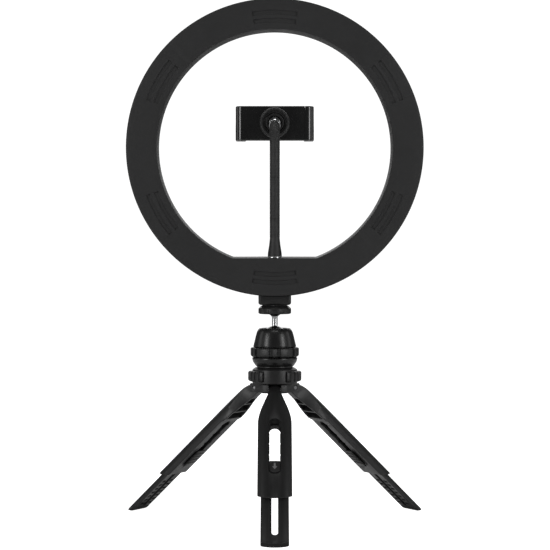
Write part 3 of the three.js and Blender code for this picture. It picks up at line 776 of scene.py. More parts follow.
def make_led_board():
    """The annular board with two rings of light chips facing the diffuser."""
    low, high = box_mm("led_board")

    def section(angle):
        inner = opening_radius(angle) + 4.6
        return [(inner, high.y), (inner, low.y), (124, low.y), (124, high.y)]

    loops = [[ring_point(a, r, y) for r, y in section(a)] for a in ring_angles(3)]
    board = loft("led_ring_board", loops, along=True)
    board.data.materials.append(LED_BOARD)
    upright = Matrix.Translation((0, high.y + 0.3, RING_Z)) @ Matrix.Rotation(math.radians(-90), 4, "X")
    chips = [bars(f"led_chips_{i}", WHITE, 60, radius, 1.4, 0.6, sides=4)
             for i, radius in enumerate((111.5, 119.5))]
    finish_piece(board, "ring", LED_BOARD, "led_board")
    for chip in chips:
        moved(chip, upright)
        finish_piece(chip, "ring", WHITE)


def make_driver_board():
    low, high = box_mm("driver_board")
    board = round_edges(block("driver_circuit", low, (high.x, low.y + 1.4, high.z)), 0.2)
    parts = []
    for i, (x, z, width) in enumerate(((3, 3, 3), (8.5, 6, 4), (15, 4, 5))):
        corner = (low.x + x, low.y + 1.2, low.z + z)
        parts.append(round_edges(block(f"chip_{i}", corner, (corner[0] + width, high.y, corner[2] + 3)), 0.2))
    board = merge_pieces(board, *parts)
    finish_piece(board, "ring", BOARD, "driver_board")


# ---------------------------------------------------------------- block, wheel and stem under the ring

def make_mount_block():
    low, high = box_mm("mount_block")
    chamfer = 1.7
    drop = 1.3
    levels = [(low.z, 1.5), (low.z + drop, 0), (high.z + 4, 0)]
    loops = []
    for z, inset in levels:
        x0, x1, y0, y1 = low.x + inset, high.x - inset, low.y + inset * 0.3, high.y - inset * 0.3
        outline = fillet([
            (x0 + chamfer, y0, 0.6), (x1 - chamfer, y0, 0.6), (x1, y0 + chamfer, 0.6), (x1, y1 - chamfer, 0.6),
            (x1 - chamfer, y1, 0.6), (x0 + chamfer, y1, 0.6), (x0, y1 - chamfer, 0.6), (x0, y0 + chamfer, 0.6),
        ])
        loops.append([(x, y, z) for x, y in outline])
    body = loft("ring_mount_block", loops)
    ring_space = prism("space", turned_outline(lambda angle: RING_OUTER + 0.25, 512), -60, 60)
    moved(ring_space, Matrix.Translation((0, AXIS_Y, RING_Z)) @ Matrix.Rotation(math.pi / 2, 4, "X"))
    inlet_low, inlet_high = box_mm("usb_inlet")
    margin = 0.3
    mouth = block("mouth", (inlet_low.x - margin, inlet_low.y - margin, inlet_low.z - margin),
                  (inlet_high.x + margin, high.y + 5, inlet_high.z + margin))
    bore = prism("bore", turned_outline(lambda angle: 5.2, 48), low.z - 1, high.z)
    shift(bore, y=AXIS_Y)
    cut(body, ring_space, mouth, bore)
    round_edges(body, 0.25)
    finish_piece(body, "ring", SATIN, "mount_block")


def make_inlet():
    low, high = box_mm("usb_inlet")
    middle = (low.z + high.z) / 2

    def rounded_slot(inset, y):
        half_height = (high.z - low.z) / 2 - inset
        half_width = high.x - inset
        corner = half_height * 0.95
        outline = fillet([(-half_width, -half_height, corner), (half_width, -half_height, corner),
                          (half_width, half_height, corner), (-half_width, half_height, corner)], steps=8)
        return [(x, y, middle + z) for x, z in outline]

    loops = [rounded_slot(0, low.y), rounded_slot(0, high.y - 0.1), rounded_slot(0.1, high.y),
             rounded_slot(0.35, high.y), rounded_slot(0.4, high.y - 0.1), rounded_slot(0.4, low.y + 1)]
    shell = loft("usb_socket_shell", loops)
    tongue = round_edges(block(
        "tongue", (-3, low.y + 0.8, middle - 0.35), (3, high.y - 0.6, middle + 0.35)), 0.1)
    finish_piece(merge_pieces(shell, tongue), "ring", STEEL, "usb_inlet")


WHEEL_RADIUS = 14.5
WHEEL_PAD_HALF_ANGLE = 17


def make_thumb_wheel():
    low, high = box_mm("thumb_wheel")
    top = high.z

    def radius_at(angle):
        from_pad = abs((angle - 270 + 60) % 120 - 60)
        return WHEEL_RADIUS if from_pad < WHEEL_PAD_HALF_ANGLE else WHEEL_RADIUS - 0.7

    levels = [(low.z, 0.9), (low.z + 0.25, 0.3), (low.z + 0.7, 0), (top - 2.2, 0), (top - 1.95, 0.15),
              (top - 0.15, 2.15), (top, 2.5)]
    wheel = ribbed_ring("thumb_wheel_body", radius_at, levels, 3.4)
    shift(wheel, y=AXIS_Y)
    finish_piece(wheel, "thumb_wheel", SATIN, "thumb_wheel")
    ribs = bars("thumb_wheel_ribs", SATIN, 60, WHEEL_RADIUS - 0.72, 0.42, 3.9, sides=8)
    shift(ribs, y=AXIS_Y, z=low.z + 2.7)
    drop_bars_between(ribs, WHEEL_PAD_HALF_ANGLE + 1)
    finish_piece(ribs, "thumb_wheel", SATIN)


def drop_bars_between(piece, half_angle):
    """Removes the bars that would stand in the three smooth pads of the wheel."""
    work = bmesh.new()
    work.from_mesh(piece.data)
    doomed = []
    for vertex in work.verts:
        angle = math.degrees(math.atan2(vertex.co.y - AXIS_Y, vertex.co.x))
        if abs((angle - 270 + 60) % 120 - 60) < half_angle:
            doomed.append(vertex)
    islands = set(doomed)
    queue = list(doomed)
    while queue:
        for edge in queue.pop().link_edges:
            for vertex in edge.verts:
                if vertex not in islands:
                    islands.add(vertex)
                    queue.append(vertex)
    bmesh.ops.delete(work, geom=list(islands), context="VERTS")
    work.to_mesh(piece.data)
    work.free()


THREAD_PITCH = 1.27


def make_small_turnings():
    """Washer, screw, stem, insert, block screws, bolt: everything turned about the tripod's axis."""
    low, high = box_mm("wheel_washer")
    washer = on_axis("rubber_washer", [
        (3.5, low.z), (11.2, low.z, 0.2), (11.2, high.z, 0.2), (3.5, high.z)])
    finish_piece(washer, "thumb_wheel", RUBBER, "wheel_washer")
    low, high = box_mm("ball_stem")
    stem = on_axis("chrome_stem", [
        (NEAR_AXIS, low.z - 0.25), (2.55, low.z - 0.25), (2.5, low.z + 3), (2.55, high.z - 3.2, 3),
        (2.9, high.z - 1.7), (NEAR_AXIS, high.z - 1.7)])
    finish_piece(stem, "ring", CHROME, "ball_stem")
    cone = on_axis("stem_cone", [
        (NEAR_AXIS, high.z - 1.65), (2.9, high.z - 1.65, 0.2), (5.0, high.z, 0.2), (5.0, high.z + 0.2),
        (NEAR_AXIS, high.z + 0.2)])
    finish_piece(cone, "ring", SATIN)
    low, high = box_mm("mount_screw")
    root, crest = 2.6, 3.1
    profile = [(NEAR_AXIS, low.z + 0.2), (root, low.z + 0.2)]
    for i in range(int((high.z - low.z - 0.8) / THREAD_PITCH)):
        base = low.z + 0.4 + THREAD_PITCH * i
        profile += [(radius, base + THREAD_PITCH * share)
                    for radius, share in ((root, 0), (crest, 0.45), (crest, 0.55), (root, 0.98))]
    profile += [(2.2, high.z), (NEAR_AXIS, high.z)]
    finish_piece(on_axis("tripod_screw", profile, 48), "ring", STEEL, "mount_screw")
    low, high = box_mm("thread_insert")
    insert = on_axis("brass_insert", [
        (3.4, low.z, 0.3), (5, low.z, 0.3), (5, low.z + 2.6, 0.2), (4.7, low.z + 3, 0.2),
        (4.7, low.z + 3.8, 0.2), (5, low.z + 4.2, 0.2), (5, high.z, 0.4), (3.4, high.z, 0.2)], 48)
    finish_piece(insert, "ring", BRASS, "thread_insert")
    for number in (1, 2):
        low, high = box_mm(f"block_screw_{number}")
        middle = ((low.x + high.x) / 2, (low.y + high.y) / 2)
        screw = lathe(f"block_screw_fine_{number}", [
            (NEAR_AXIS, low.z + 0.9), (1.1, low.z + 0.9), (1.3, low.z, 0.1), (2.6, low.z, 0.3),
            (2.6, low.z + 1.5, 0.2), (1.5, low.z + 1.7), (1.5, high.z - 1), (0.9, high.z),
            (NEAR_AXIS, high.z)], 32, middle)
        finish_piece(screw, "ring", STEEL, f"block_screw_{number}")
    low, high = box_mm("base_bolt")
    hexagon = prism("hexagon", turned_outline(lambda angle: 2.6, 6), low.z - 1, low.z + 1.2)
    shift(hexagon, y=AXIS_Y)
    bolt = on_axis("pan_bolt", [
        (NEAR_AXIS, low.z), (6.5, low.z, 0.4), (6.5, low.z + 1.6, 0.2), (4, low.z + 1.6), (4, high.z, 0.5),
        (NEAR_AXIS, high.z)], 64)
    finish_piece(cut(bolt, hexagon), "head", STEEL, "base_bolt")


# ---------------------------------------------------------------- ball head

BALL_CENTRE_Z = joints["ball_tilt_fore_aft"]["pos_m"][2] / MM
BALL_RADIUS = 12
SOCKET_RADIUS = 12.3


def make_ball():
    profile = [(NEAR_AXIS, BALL_CENTRE_Z - BALL_RADIUS)]
    for i in range(1, 40):
        angle = math.radians(-90 + 180 * i / 40)
        profile.append((BALL_RADIUS * math.cos(angle), BALL_CENTRE_Z + BALL_RADIUS * math.sin(angle)))
    profile.append((NEAR_AXIS, BALL_CENTRE_Z + BALL_RADIUS))
    ball = on_axis("head_ball", profile, 96)
    finish_piece(ball, "ball", GLOSS, "ball")


def make_housing():
    low, high = box_mm("ball_housing")
    flange = low.z + 7.9
    inside = []
    for i in range(13):
        angle = math.radians(30.4 * (1 - i / 12))
        inside.append((SOCKET_RADIUS * math.cos(angle), BALL_CENTRE_Z + SOCKET_RADIUS * math.sin(angle)))
    taper = [(152, 18.5), (157, 17.3), (161, 16.35), (164.1, 15.4), (165.8, 14.6)]
    steps = 18
    heights = [taper[0][0] + (taper[-1][0] - taper[0][0]) * i / steps for i in range(steps + 1)]
    dome = [(soft_follow(taper, z), z) for z in heights]
    profile = [
        (SOCKET_RADIUS, low.z, 0.3), (14.9, low.z, 0.4), (14.9, flange),
        (18.3, flange, 0.3), (18.7, flange + 0.5, 0.3),
        *dome, (13.3, high.z, 0.8), (11.3, high.z, 0.4), *inside, (SOCKET_RADIUS, low.z + 2),
    ]
    housing = on_axis("ball_cup", profile, 128)
    finish_piece(housing, "head", HEAD_BLACK, "ball_housing", sharp=30)
    low, high = box_mm("ball_seat")
    cup = [(SOCKET_RADIUS * math.cos(math.radians(a)),
            BALL_CENTRE_Z + SOCKET_RADIUS * math.sin(math.radians(a)))
           for a in range(-28, -88, -6)]
    seat = on_axis("ball_seat_cup", [
        (NEAR_AXIS, low.z), (11.9, low.z, 0.5), (11.9, high.z, 0.3), *cup,
        (NEAR_AXIS, BALL_CENTRE_Z - SOCKET_RADIUS)],
        64)
    finish_piece(seat, "head", WHITE, "ball_seat")


def smooth_step(edge_low, edge_high, value):
    t = min(1, max(0, (value - edge_low) / (edge_high - edge_low)))
    return t * t * (3 - 2 * t)


def make_lock_ring():
    """Six narrow ribs, with a broad pad between each pair and a scoop either side of the rib."""
    low, high = box_mm("lock_ring")
    radius = (high.x - low.x) / 2

    def radius_at(angle):
        turn = abs((angle - 30 + 30) % 60 - 30)
        rib = 1 - smooth_step(4.8, 6.4, turn)
        pad = smooth_step(12.5, 15, turn)
        serration = 0.16 * math.cos(math.radians(turn * 60)) if turn < 5 else 0
        return radius - 1.5 + 1.5 * max(rib, pad) + serration * rib

    levels = [(low.z, 2.4), (low.z + 0.5, 1.4), (low.z + 1.3, 0.4), (low.z + 1.8, 0.1), (low.z + 2.2, 0),
              (high.z - 1.0, 0), (high.z - 0.6, 0.12), (high.z - 0.2, 0.5), (high.z, 1.1)]
    ring = ribbed_ring("ball_lock_ring", radius_at, levels, 15.3, 720)
    shift(ring, y=AXIS_Y)
    finish_piece(ring, "lock_ring", SATIN, "lock_ring", sharp=30)


def make_head_base():
    low, high = box_mm("head_base")
    rim = high.z - 1.1
    base = on_axis("head_bowl", [
        (4.3, low.z), (15.6, low.z, 0.2), (15.6, rim - 7.4), (16.4, rim - 7.2, 0.5), (17.7, rim - 5.4, 2),
        (19, rim - 3.4, 3), (19.55, rim - 1.1, 1), (19.55, rim, 0.4), (14.9, rim + 0.1),
        (14.9, high.z, 0.3), (NEAR_AXIS, high.z), (NEAR_AXIS, low.z + 4.5), (4.3, low.z + 4.5)], 128)
    finish_piece(base, "head", HEAD_BLACK, "head_base", sharp=30)


GRIP_AZIMUTHS = (90, 210, 330)
GRIP_HALF_ANGLE = 30


def make_collar():
    """The collar with its three ribbed grips; panels between them stand a little proud of the neck."""
    low, high = box_mm("collar")
    radius = 19.4
    body = on_axis("collar_body", [
        (4.7, low.z, 0.3), (radius, low.z, 0.4), (radius, high.z - 1.7, 0.3), (radius - 2.2, high.z - 0.1, 0.4),
        (radius - 3.2, high.z, 0.3), (4.7, high.z, 0.3)], 128)
    grips = []
    bottom, top = low.z + 1.7, high.z - 2.7
    for azimuth in GRIP_AZIMUTHS:
        loops = []
        for z, inset in ((bottom, 1.4), (bottom + 0.5, 0.6), (bottom + 1.4, 0), (top - 1.4, 0),
                         (top - 0.5, 0.6), (top, 1.5)):
            loops.append([(x, y + AXIS_Y, z) for x, y in grip_outline(azimuth, inset)])
        grips.append(loft(f"grip_{azimuth}", loops))
    collar = fuse(body, *grips)
    finish_piece(collar, "collar", SATIN, "collar", sharp=30)


def grip_outline(azimuth, inset):
    points = []
    outer = 23.2 - inset
    steps = 120
    for i in range(steps + 1):
        turn = -GRIP_HALF_ANGLE + 2 * GRIP_HALF_ANGLE * i / steps
        edge = smooth_step(0, 4, GRIP_HALF_ANGLE - abs(turn))
        groove = 1 - smooth_step(0.9, 1.8, abs((turn + 6) % 12 - 6))
        depth = 0.8 * groove if abs(turn) < 26 else 0
        radius = 18.6 + (outer - depth - 18.6) * (0.55 + 0.45 * edge)
        angle = math.radians(azimuth + turn)
        points.append((radius * math.cos(angle), radius * math.sin(angle)))
    for turn in (GRIP_HALF_ANGLE, 0, -GRIP_HALF_ANGLE):
        angle = math.radians(azimuth + turn)
        points.append((18.4 * math.cos(angle), 18.4 * math.sin(angle)))
    return points


# ---------------------------------------------------------------- tripod

LUG_HALF = 10.8
HUB_RADIUS = 21.6
NECK_HALF = 5
PIN_REACH = 15
LEG_PITCH = math.radians(42.5)
PIN_HEIGHT = joints["leg_fold_1"]["pos_m"][2] / MM


def leg_matrix(number):
    """From leg coordinates (X down the leg from its pin, Y across, Z out of its crown) to the row frame."""
    pin = Vector(joints[f"leg_fold_{number}"]["pos_m"]) / MM
    azimuth = math.atan2(pin.y - AXIS_Y, pin.x)
    return Matrix.Translation(pin) @ Matrix.Rotation(azimuth, 4, "Z") @ Matrix.Rotation(LEG_PITCH, 4, "Y")


def leg_turn(number):
    """Only the turn about the tripod axis, for what is drawn upright at azimuth 0."""
    pin = Vector(joints[f"leg_fold_{number}"]["pos_m"]) / MM
    azimuth = math.atan2(pin.y - AXIS_Y, pin.x)
    return Matrix.Translation((0, AXIS_Y, 0)) @ Matrix.Rotation(azimuth, 4, "Z")


def make_hub():
    low, high = box_mm("hub")
    lugs, slots, holes = [], [], []
    for number in LEG_NUMBERS:
        turn = leg_turn(number)
        lug = block(f"lug_{number}", (0, -LUG_HALF, low.z), (HUB_RADIUS + 3, LUG_HALF, high.z))
        lugs.append(moved(lug, turn))
        gap = NECK_HALF + 0.5
        slots.append(moved(block(f"slot_{number}", (PIN_REACH - 4.5, -gap, low.z - 5),
                                 (HUB_RADIUS + 6, gap, high.z + 5)), turn))
        hole = prism(f"hole_{number}", turned_outline(lambda angle: 1.8, 32), -20, 20)
        to_pin = Matrix.Translation((PIN_REACH, 0, PIN_HEIGHT)) @ Matrix.Rotation(math.pi / 2, 4, "X")
        moved(hole, turn @ to_pin)
        holes.append(hole)
    rim = on_axis("rim", [
        (NEAR_AXIS, low.z), (HUB_RADIUS, low.z, 1.2), (HUB_RADIUS, high.z, 0.8), (NEAR_AXIS, high.z)],
                144)
    core = on_axis("core", [
        (NEAR_AXIS, low.z - 1), (4.3, low.z - 1), (4.3, high.z + 1), (NEAR_AXIS, high.z + 1)],
                 48)
    recess = on_axis("recess", [
        (NEAR_AXIS, low.z - 1), (6.8, low.z - 1), (6.8, low.z + 2.2), (NEAR_AXIS, low.z + 2.2)],
                   48)
    body = combine(fuse(*lugs), [rim], "INTERSECT")
    cut(body, core, recess, *slots, *holes)
    round_edges(body, 0.3)
    finish_piece(body, "hub", SATIN, "hub")


def curve_points(a, b, c, d, steps=60):
    """Points on a cubic Bezier curve."""
    points = []
    for i in range(steps + 1):
        t = i / steps
        u = 1 - t
        points.append(tuple(u ** 3 * a[k] + 3 * u * u * t * b[k] + 3 * u * t * t * c[k] + t ** 3 * d[k]
                            for k in (0, 1)))
    return points


def follow(points, at):
    """Height of a polyline of (x, y) points at x, held flat beyond its ends."""
    if at <= points[0][0]:
        return points[0][1]
    for (x0, y0), (x1, y1) in zip(points, points[1:]):
        if at <= x1:
            return y0 + (y1 - y0) * (at - x0) / (x1 - x0)
    return points[-1][1]


def soft_follow(points, at):
    """As follow, but with an eased slope between the points."""
    if at <= points[0][0]:
        return points[0][1]
    for i in range(len(points) - 1):
        (x0, y0), (x1, y1) = points[i], points[i + 1]
        if at <= x1:
            slopes = []
            for j in (i, i + 1):
                before, after = points[max(j - 1, 0)], points[min(j + 1, len(points) - 1)]
                slopes.append((after[1] - before[1]) / (after[0] - before[0]))
            span = x1 - x0
            t = (at - x0) / span
            return ((2 * t ** 3 - 3 * t ** 2 + 1) * y0 + (t ** 3 - 2 * t ** 2 + t) * span * slopes[0]
                    + (3 * t ** 2 - 2 * t ** 3) * y1 + (t ** 3 - t ** 2) * span * slopes[1])
    return points[-1][1]


SHELL_HALF = 14.35
SHELL_END_Z = 34.8            # the shell's lower end is cut level
SHELL_REACH = 131
KNUCKLE = 3.9
CROWN_TOP = 10
PLAN = curve_points((8, NECK_HALF), (17, 5.4), (26, 14), (41, SHELL_HALF))
TOP_LINE = [(0, KNUCKLE), (2, 5.5), (6, 8.1), (12, 9.7), (18, CROWN_TOP), (40, CROWN_TOP)]
BOTTOM_LINE = [(0, -KNUCKLE), (15, -3.3), (40, -3), (44, -1.7)]


def leg_section(s, inset=0.0, arc_steps=22):
    """Section of the leg shell at s as (across, up): a flat underside, short sides and a round crown."""
    half = (follow(PLAN, s) if s > 8 else NECK_HALF) - inset
    if s < 0:
        rise = math.sqrt(max(KNUCKLE ** 2 - s * s, 0.01))
        top, bottom = rise, -rise
    else:
        top, bottom = soft_follow(TOP_LINE, s) - inset, follow(BOTTOM_LINE, s) + inset
    fullness = (half + inset - NECK_HALF) / (SHELL_HALF - NECK_HALF)
    drop = (1.6 + 6.3 * fullness ** 1.15) * min(1, (top - bottom) / 8)
    points = []
    corner = 0.5
    points += fillet([(-half, bottom + 2, 0), (-half, bottom, corner), (half, bottom, corner),
                      (half, bottom + 2, 0)], closed=False)[1:-1]
    radius = (half * half + drop * drop) / (2 * drop)
    reach = math.asin(min(1, half / radius))
    for i in range(arc_steps + 1):
        angle = reach - 2 * reach * i / arc_steps
        points.append((radius * math.sin(angle), top - radius + radius * math.cos(angle)))
    return points


def crowned_outline(radius, half, bottom, top_limit=None, steps=28):
    """A round crown over a flat underside; the crown's centre lies 7 below the leg's centre line."""
    centre = -7
    edge = math.acos(half / radius)
    points = fillet([
        (-half, bottom + 2, 0), (-half, bottom, 0.4), (half, bottom, 0.4), (half, bottom + 2, 0)],
                    closed=False)[1:-1]
    for i in range(steps + 1):
        angle = edge + (math.pi - 2 * edge) * i / steps
        points.append((radius * math.cos(angle), centre + radius * math.sin(angle)))
    return points


# Hollows under the neck, with cross ribs left between them: start, end, half width at each, roof
NECK_HOLLOWS = (
    (11.5, 18.4, 3.4, 6, 5),
    (19.8, 28.9, 6.8, 10.2, 4),
    (30.3, 38.5, 10.7, 12.2, 2.5),
)
SLOT_HALF = 4.35              # slot of the thumb slider

# Swings a prism drawn in the plane across the leg so that it runs down the leg
DOWN_THE_LEG = Matrix(((0, 0, 1, 0), (1, 0, 0, 0), (0, 1, 0, 0), (0, 0, 0, 1)))


def leg_shell():
    stations = [(-KNUCKLE * math.cos(math.radians(a)), 0) for a in (4, 12, 22, 34, 46, 58, 70, 80)]
    stations += [(s, 0) for s in (0, 1, 2, 3, 4, 5, 6, 7)]
    stations += [(8 + 1.25 * i, 0) for i in range(27)] + [(s, 0) for s in (42, 43, 44, 46, 70, 100)]
    loops = [[(s, t, n) for t, n in leg_section(s, inset)] for s, inset in stations]
    for rise, inset in ((0.6, 0), (0.15, 0.12), (0, 0.45)):
        loops.append([(reach_at(SHELL_END_Z + rise, n), t, n) for t, n in leg_section(100, inset)])
    shell = loft("leg_body", loops)
    channel = moved(prism("channel", crowned_outline(14.9, 11.8, -0.2), 46, SHELL_REACH + 2), DOWN_THE_LEG)
    hollows = []
    for start, end, start_half, end_half, roof in NECK_HOLLOWS:
        plan = [(start, -start_half), (end, -end_half), (end, end_half), (start, start_half)]
        hollows.append(prism("hollow", plan, -8, roof))
    window = prism("window", slot_outline(43.4, 103.6, 4.65), 3, 14)
    rebate = prism("rebate", slot_outline(42.9, 104.1, 5.2), 7.6, 14)
    under_slot = prism("under_slot", slot_outline(44.5, 107, SLOT_HALF), -5, 3)
    scallops = [moved(prism("scallop", turned_outline(lambda angle: 1.5, 32), -3, 3),
                      Matrix.Translation((49.5 + 12.4 * i, side * SLOT_HALF, 0)))
                for i in range(5) for side in (-1, 1)]
    pin_hole = moved(prism("pin_hole", turned_outline(lambda angle: 1.8, 32), -20, 20),
                     Matrix.Rotation(math.pi / 2, 4, "X"))
    cut(shell, channel, *hollows)
    cut(shell, window, rebate, under_slot, pin_hole)
    cut(shell, *scallops)
    round_edges(shell, 0.22, 2, 40)
    return shell


def reach_at(z, n):
    """How far down the leg the level z lies, at a height n above the leg's centre line."""
    return (PIN_HEIGHT - z + math.cos(LEG_PITCH) * n) / math.sin(LEG_PITCH)


EXTENSION_START = 89.2
EXTENSION_HALF = 11.5
SEAM_Z = 3
BUTTON_START = 89.5
BUTTON_END = 102.3
BUTTON_HALF = 4.35
STEM_START = 92.6
STEM_END = 99.6


def shrunk(outline, inset):
    """Draws a flat outline in towards its middle."""
    low_x, high_x = min(p[0] for p in outline), max(p[0] for p in outline)
    low_y, high_y = min(p[1] for p in outline), max(p[1] for p in outline)
    middle = ((low_x + high_x) / 2, (low_y + high_y) / 2)
    scale = (1 - 2 * inset / (high_x - low_x), 1 - 2 * inset / (high_y - low_y))
    return [tuple(middle[k] + (p[k] - middle[k]) * scale[k] for k in (0, 1)) for p in outline]


def leg_extension():
    outline = crowned_outline(14.6, EXTENSION_HALF, 0.1)
    loops = [[(s, t, n) for t, n in shrunk(outline, inset)]
             for s, inset in ((EXTENSION_START, 0.5), (EXTENSION_START + 0.5, 0))]
    loops.append([(reach_at(SEAM_Z + 0.3, n), t, n) for t, n in outline])
    body = loft("extension_body", loops)
    slot = prism("slot", slot_outline(112, 166, 2.6), -3, 12)
    pocket = block("pocket", (EXTENSION_START - 2, -4.65, 6.3), (103, 4.65, 12))
    stem_hole = block("stem_hole", (STEM_START - 0.4, -2.6, -3), (STEM_END + 0.4, 2.6, 8))
    notches = []
    for i in range(7):
        for side in (-1, 1):
            low_t, high_t = sorted((side * 3.4, side * 8.8))
            start = 128.5 + 5.24 * i
            notches.append(block("notch", (start, low_t, -1), (start + 2.6, high_t, 2.4)))
    cut(body, slot, pocket, stem_hole, *notches)
    round_edges(body, 0.2, 2, 40)
    return body


def rubber_foot():
    outline = crowned_outline(14.6, EXTENSION_HALF, 0.1)
    loops = []
    for z, inset in ((SEAM_Z, 0), (1.0, 0), (0.45, 0.15), (0.12, 0.5), (0, 1.1)):
        loops.append([(reach_at(z, n), t, n) for t, n in shrunk(outline, inset)])
    return loft("foot_body", loops)


def latch_button():
    around = slot_outline(BUTTON_START, BUTTON_END, BUTTON_HALF, 24)
    round_end = [p for p in around if p[0] > BUTTON_END - BUTTON_HALF]
    side = BUTTON_HALF - 0.5
    head = prism("button_head", [
        (BUTTON_START, -side), (BUTTON_START + 0.5, -BUTTON_HALF), *round_end,
        (BUTTON_START + 0.5, BUTTON_HALF), (BUTTON_START, side)], 8.1, 9.4)
    round_edges(head, 0.35, 3)
    return fuse(head, block("button_stem", (STEM_START, -2.3, 2.8), (STEM_END, 2.3, 8.4)))


def button_arrow():
    """Raised arrow that points down the leg."""
    start = BUTTON_START + 2.6
    outline = [(0, -0.8), (3.6, -0.8), (3.6, -2.1), (6.6, 0), (3.6, 2.1), (3.6, 0.8), (0, 0.8)]
    return prism("arrow", [(start + x, y) for x, y in outline], 9.3, 9.55)


def thumb_slider():
    profile = [(84, -2.1), (84, -3.0, 0.5), (85.2, -3.4, 0.6)]
    for i in range(4):
        start = 86.6 + 4 * i
        profile += [(start, -3.4), (start + 0.5, -4.2, 0.3), (start + 1.8, -4.2, 0.3), (start + 2.6, -3.4)]
    profile += [(104.4, -3.4, 0.6), (105.5, -2.8, 0.5), (105.5, -2.1)]
    pad = prism("slider_pad", fillet(profile), -5.6, 5.6)
    moved(pad, Matrix.Rotation(math.pi / 2, 4, "X"))
    neck = block("slider_neck", (91, -3.5, -2.4), (104, 3.5, -0.2))
    return round_edges(fuse(pad, neck), 0.18, 2)


def hinge_pin():
    pin = lathe("pin_body", [
        (NEAR_AXIS, -10.4), (1.5, -10.4, 0.25), (1.5, 10.4, 0.25), (0.5, 10.4, 0.1), (NEAR_AXIS, 10.1)], 40)
    return moved(pin, Matrix.Rotation(math.pi / 2, 4, "X"))


def wound_spring(name, start, end, radius, wire, pitch):
    """A spring as close turns threaded on a straight path."""
    return grow(name, RINGS_ON_PATH, path_curve(name + "_path", [start, end]), **{
        "Pitch": pitch, "Ring Radius": radius - wire, "Bead Radius": wire, "Material": STEEL})


def make_legs():
    middle = (STEM_START + STEM_END) / 2
    spring = wound_spring("spring_turns", (middle, 0, 0.55), (middle, 0, 2.3), 1.9, 0.25, 0.55)
    patterns = [
        ("leg_shell", leg_shell(), "leg", SATIN),
        ("hinge_pin", hinge_pin(), "leg", PIN_STEEL),
        ("leg_extension", leg_extension(), "extension", SATIN),
        ("rubber_foot", rubber_foot(), "extension", RUBBER),
        ("thumb_slider", thumb_slider(), "extension", SATIN),
        ("latch_spring", spring, "extension", STEEL),
        ("latch_button", latch_button(), "latch", SATIN),
        ("button_arrow", button_arrow(), "latch", PRINT),
    ]
    for node, pattern, body, material in patterns:
        for number in LEG_NUMBERS:
            piece = bpy.data.objects.new(f"{node}_fine_{number}", pattern.data.copy())
            scene.collection.objects.link(piece)
            moved(piece, leg_matrix(number))
            replaced = None if node == "button_arrow" else f"{node}_{number}"
            finish_piece(piece, f"{body}_{number}", material, replaced)
        bpy.data.objects.remove(pattern)


# ---------------------------------------------------------------- phone arm

ARM_Y = AXIS_Y + 2
SLEEVE_RADIUS = 4.55
ARM_FOOT = box_mm("gooseneck_lower")[0].z
ARM_SEAMS = [joints[name]["pos_m"][2] / MM for name in ("arm_bend_middle", "arm_bend_high")]
CLIP_Z = joints["clip_roll"]["pos_m"][2] / MM
CLIP_BALL = Vector(joints["clip_roll"]["pos_m"]) / MM
ARM_RISE = math.radians(27)   # the arm's end climbs this much above the horizontal
SLEEVE_END = 7.6              # from the centre of the clip's ball back to the sleeve


def arm_path(low, high, step=0.8):
    """Points up the arm between two heights, or on over the bend to its end where high is None."""
    end = CLIP_BALL - SLEEVE_END * Vector((0, math.cos(ARM_RISE), math.sin(ARM_RISE)))
    corner = Vector((0, ARM_Y, end.z - (end.y - ARM_Y) * math.tan(ARM_RISE)))
    straight_end = corner.z - (end.y - ARM_Y)
    top = straight_end if high is None else high
    count = max(2, round((top - low) / step))
    points = [Vector((0, ARM_Y, low + (top - low) * i / count)) for i in range(count + 1)]
    if high is None:
        bend = 24
        start = points[-1]
        for i in range(1, bend + 1):
            t = i / bend
            points.append(start * (1 - t) ** 2 + corner * 2 * t * (1 - t) + end * t * t)
    return points


def sleeve(name, points, radius_at, sides=48):
    """A round sleeve along a path in the plane of the bend."""
    loops = []
    for i, point in enumerate(points):
        before, after = points[max(i - 1, 0)], points[min(i + 1, len(points) - 1)]
        ahead = (after - before).normalized()
        side = Vector((1, 0, 0))
        up = ahead.cross(side)
        radius = radius_at(i)
        loops.append([tuple(point + radius * (
                          math.cos(TAU * k / sides) * side + math.sin(TAU * k / sides) * up))
                      for k in range(sides)])
    return loft(name, loops)


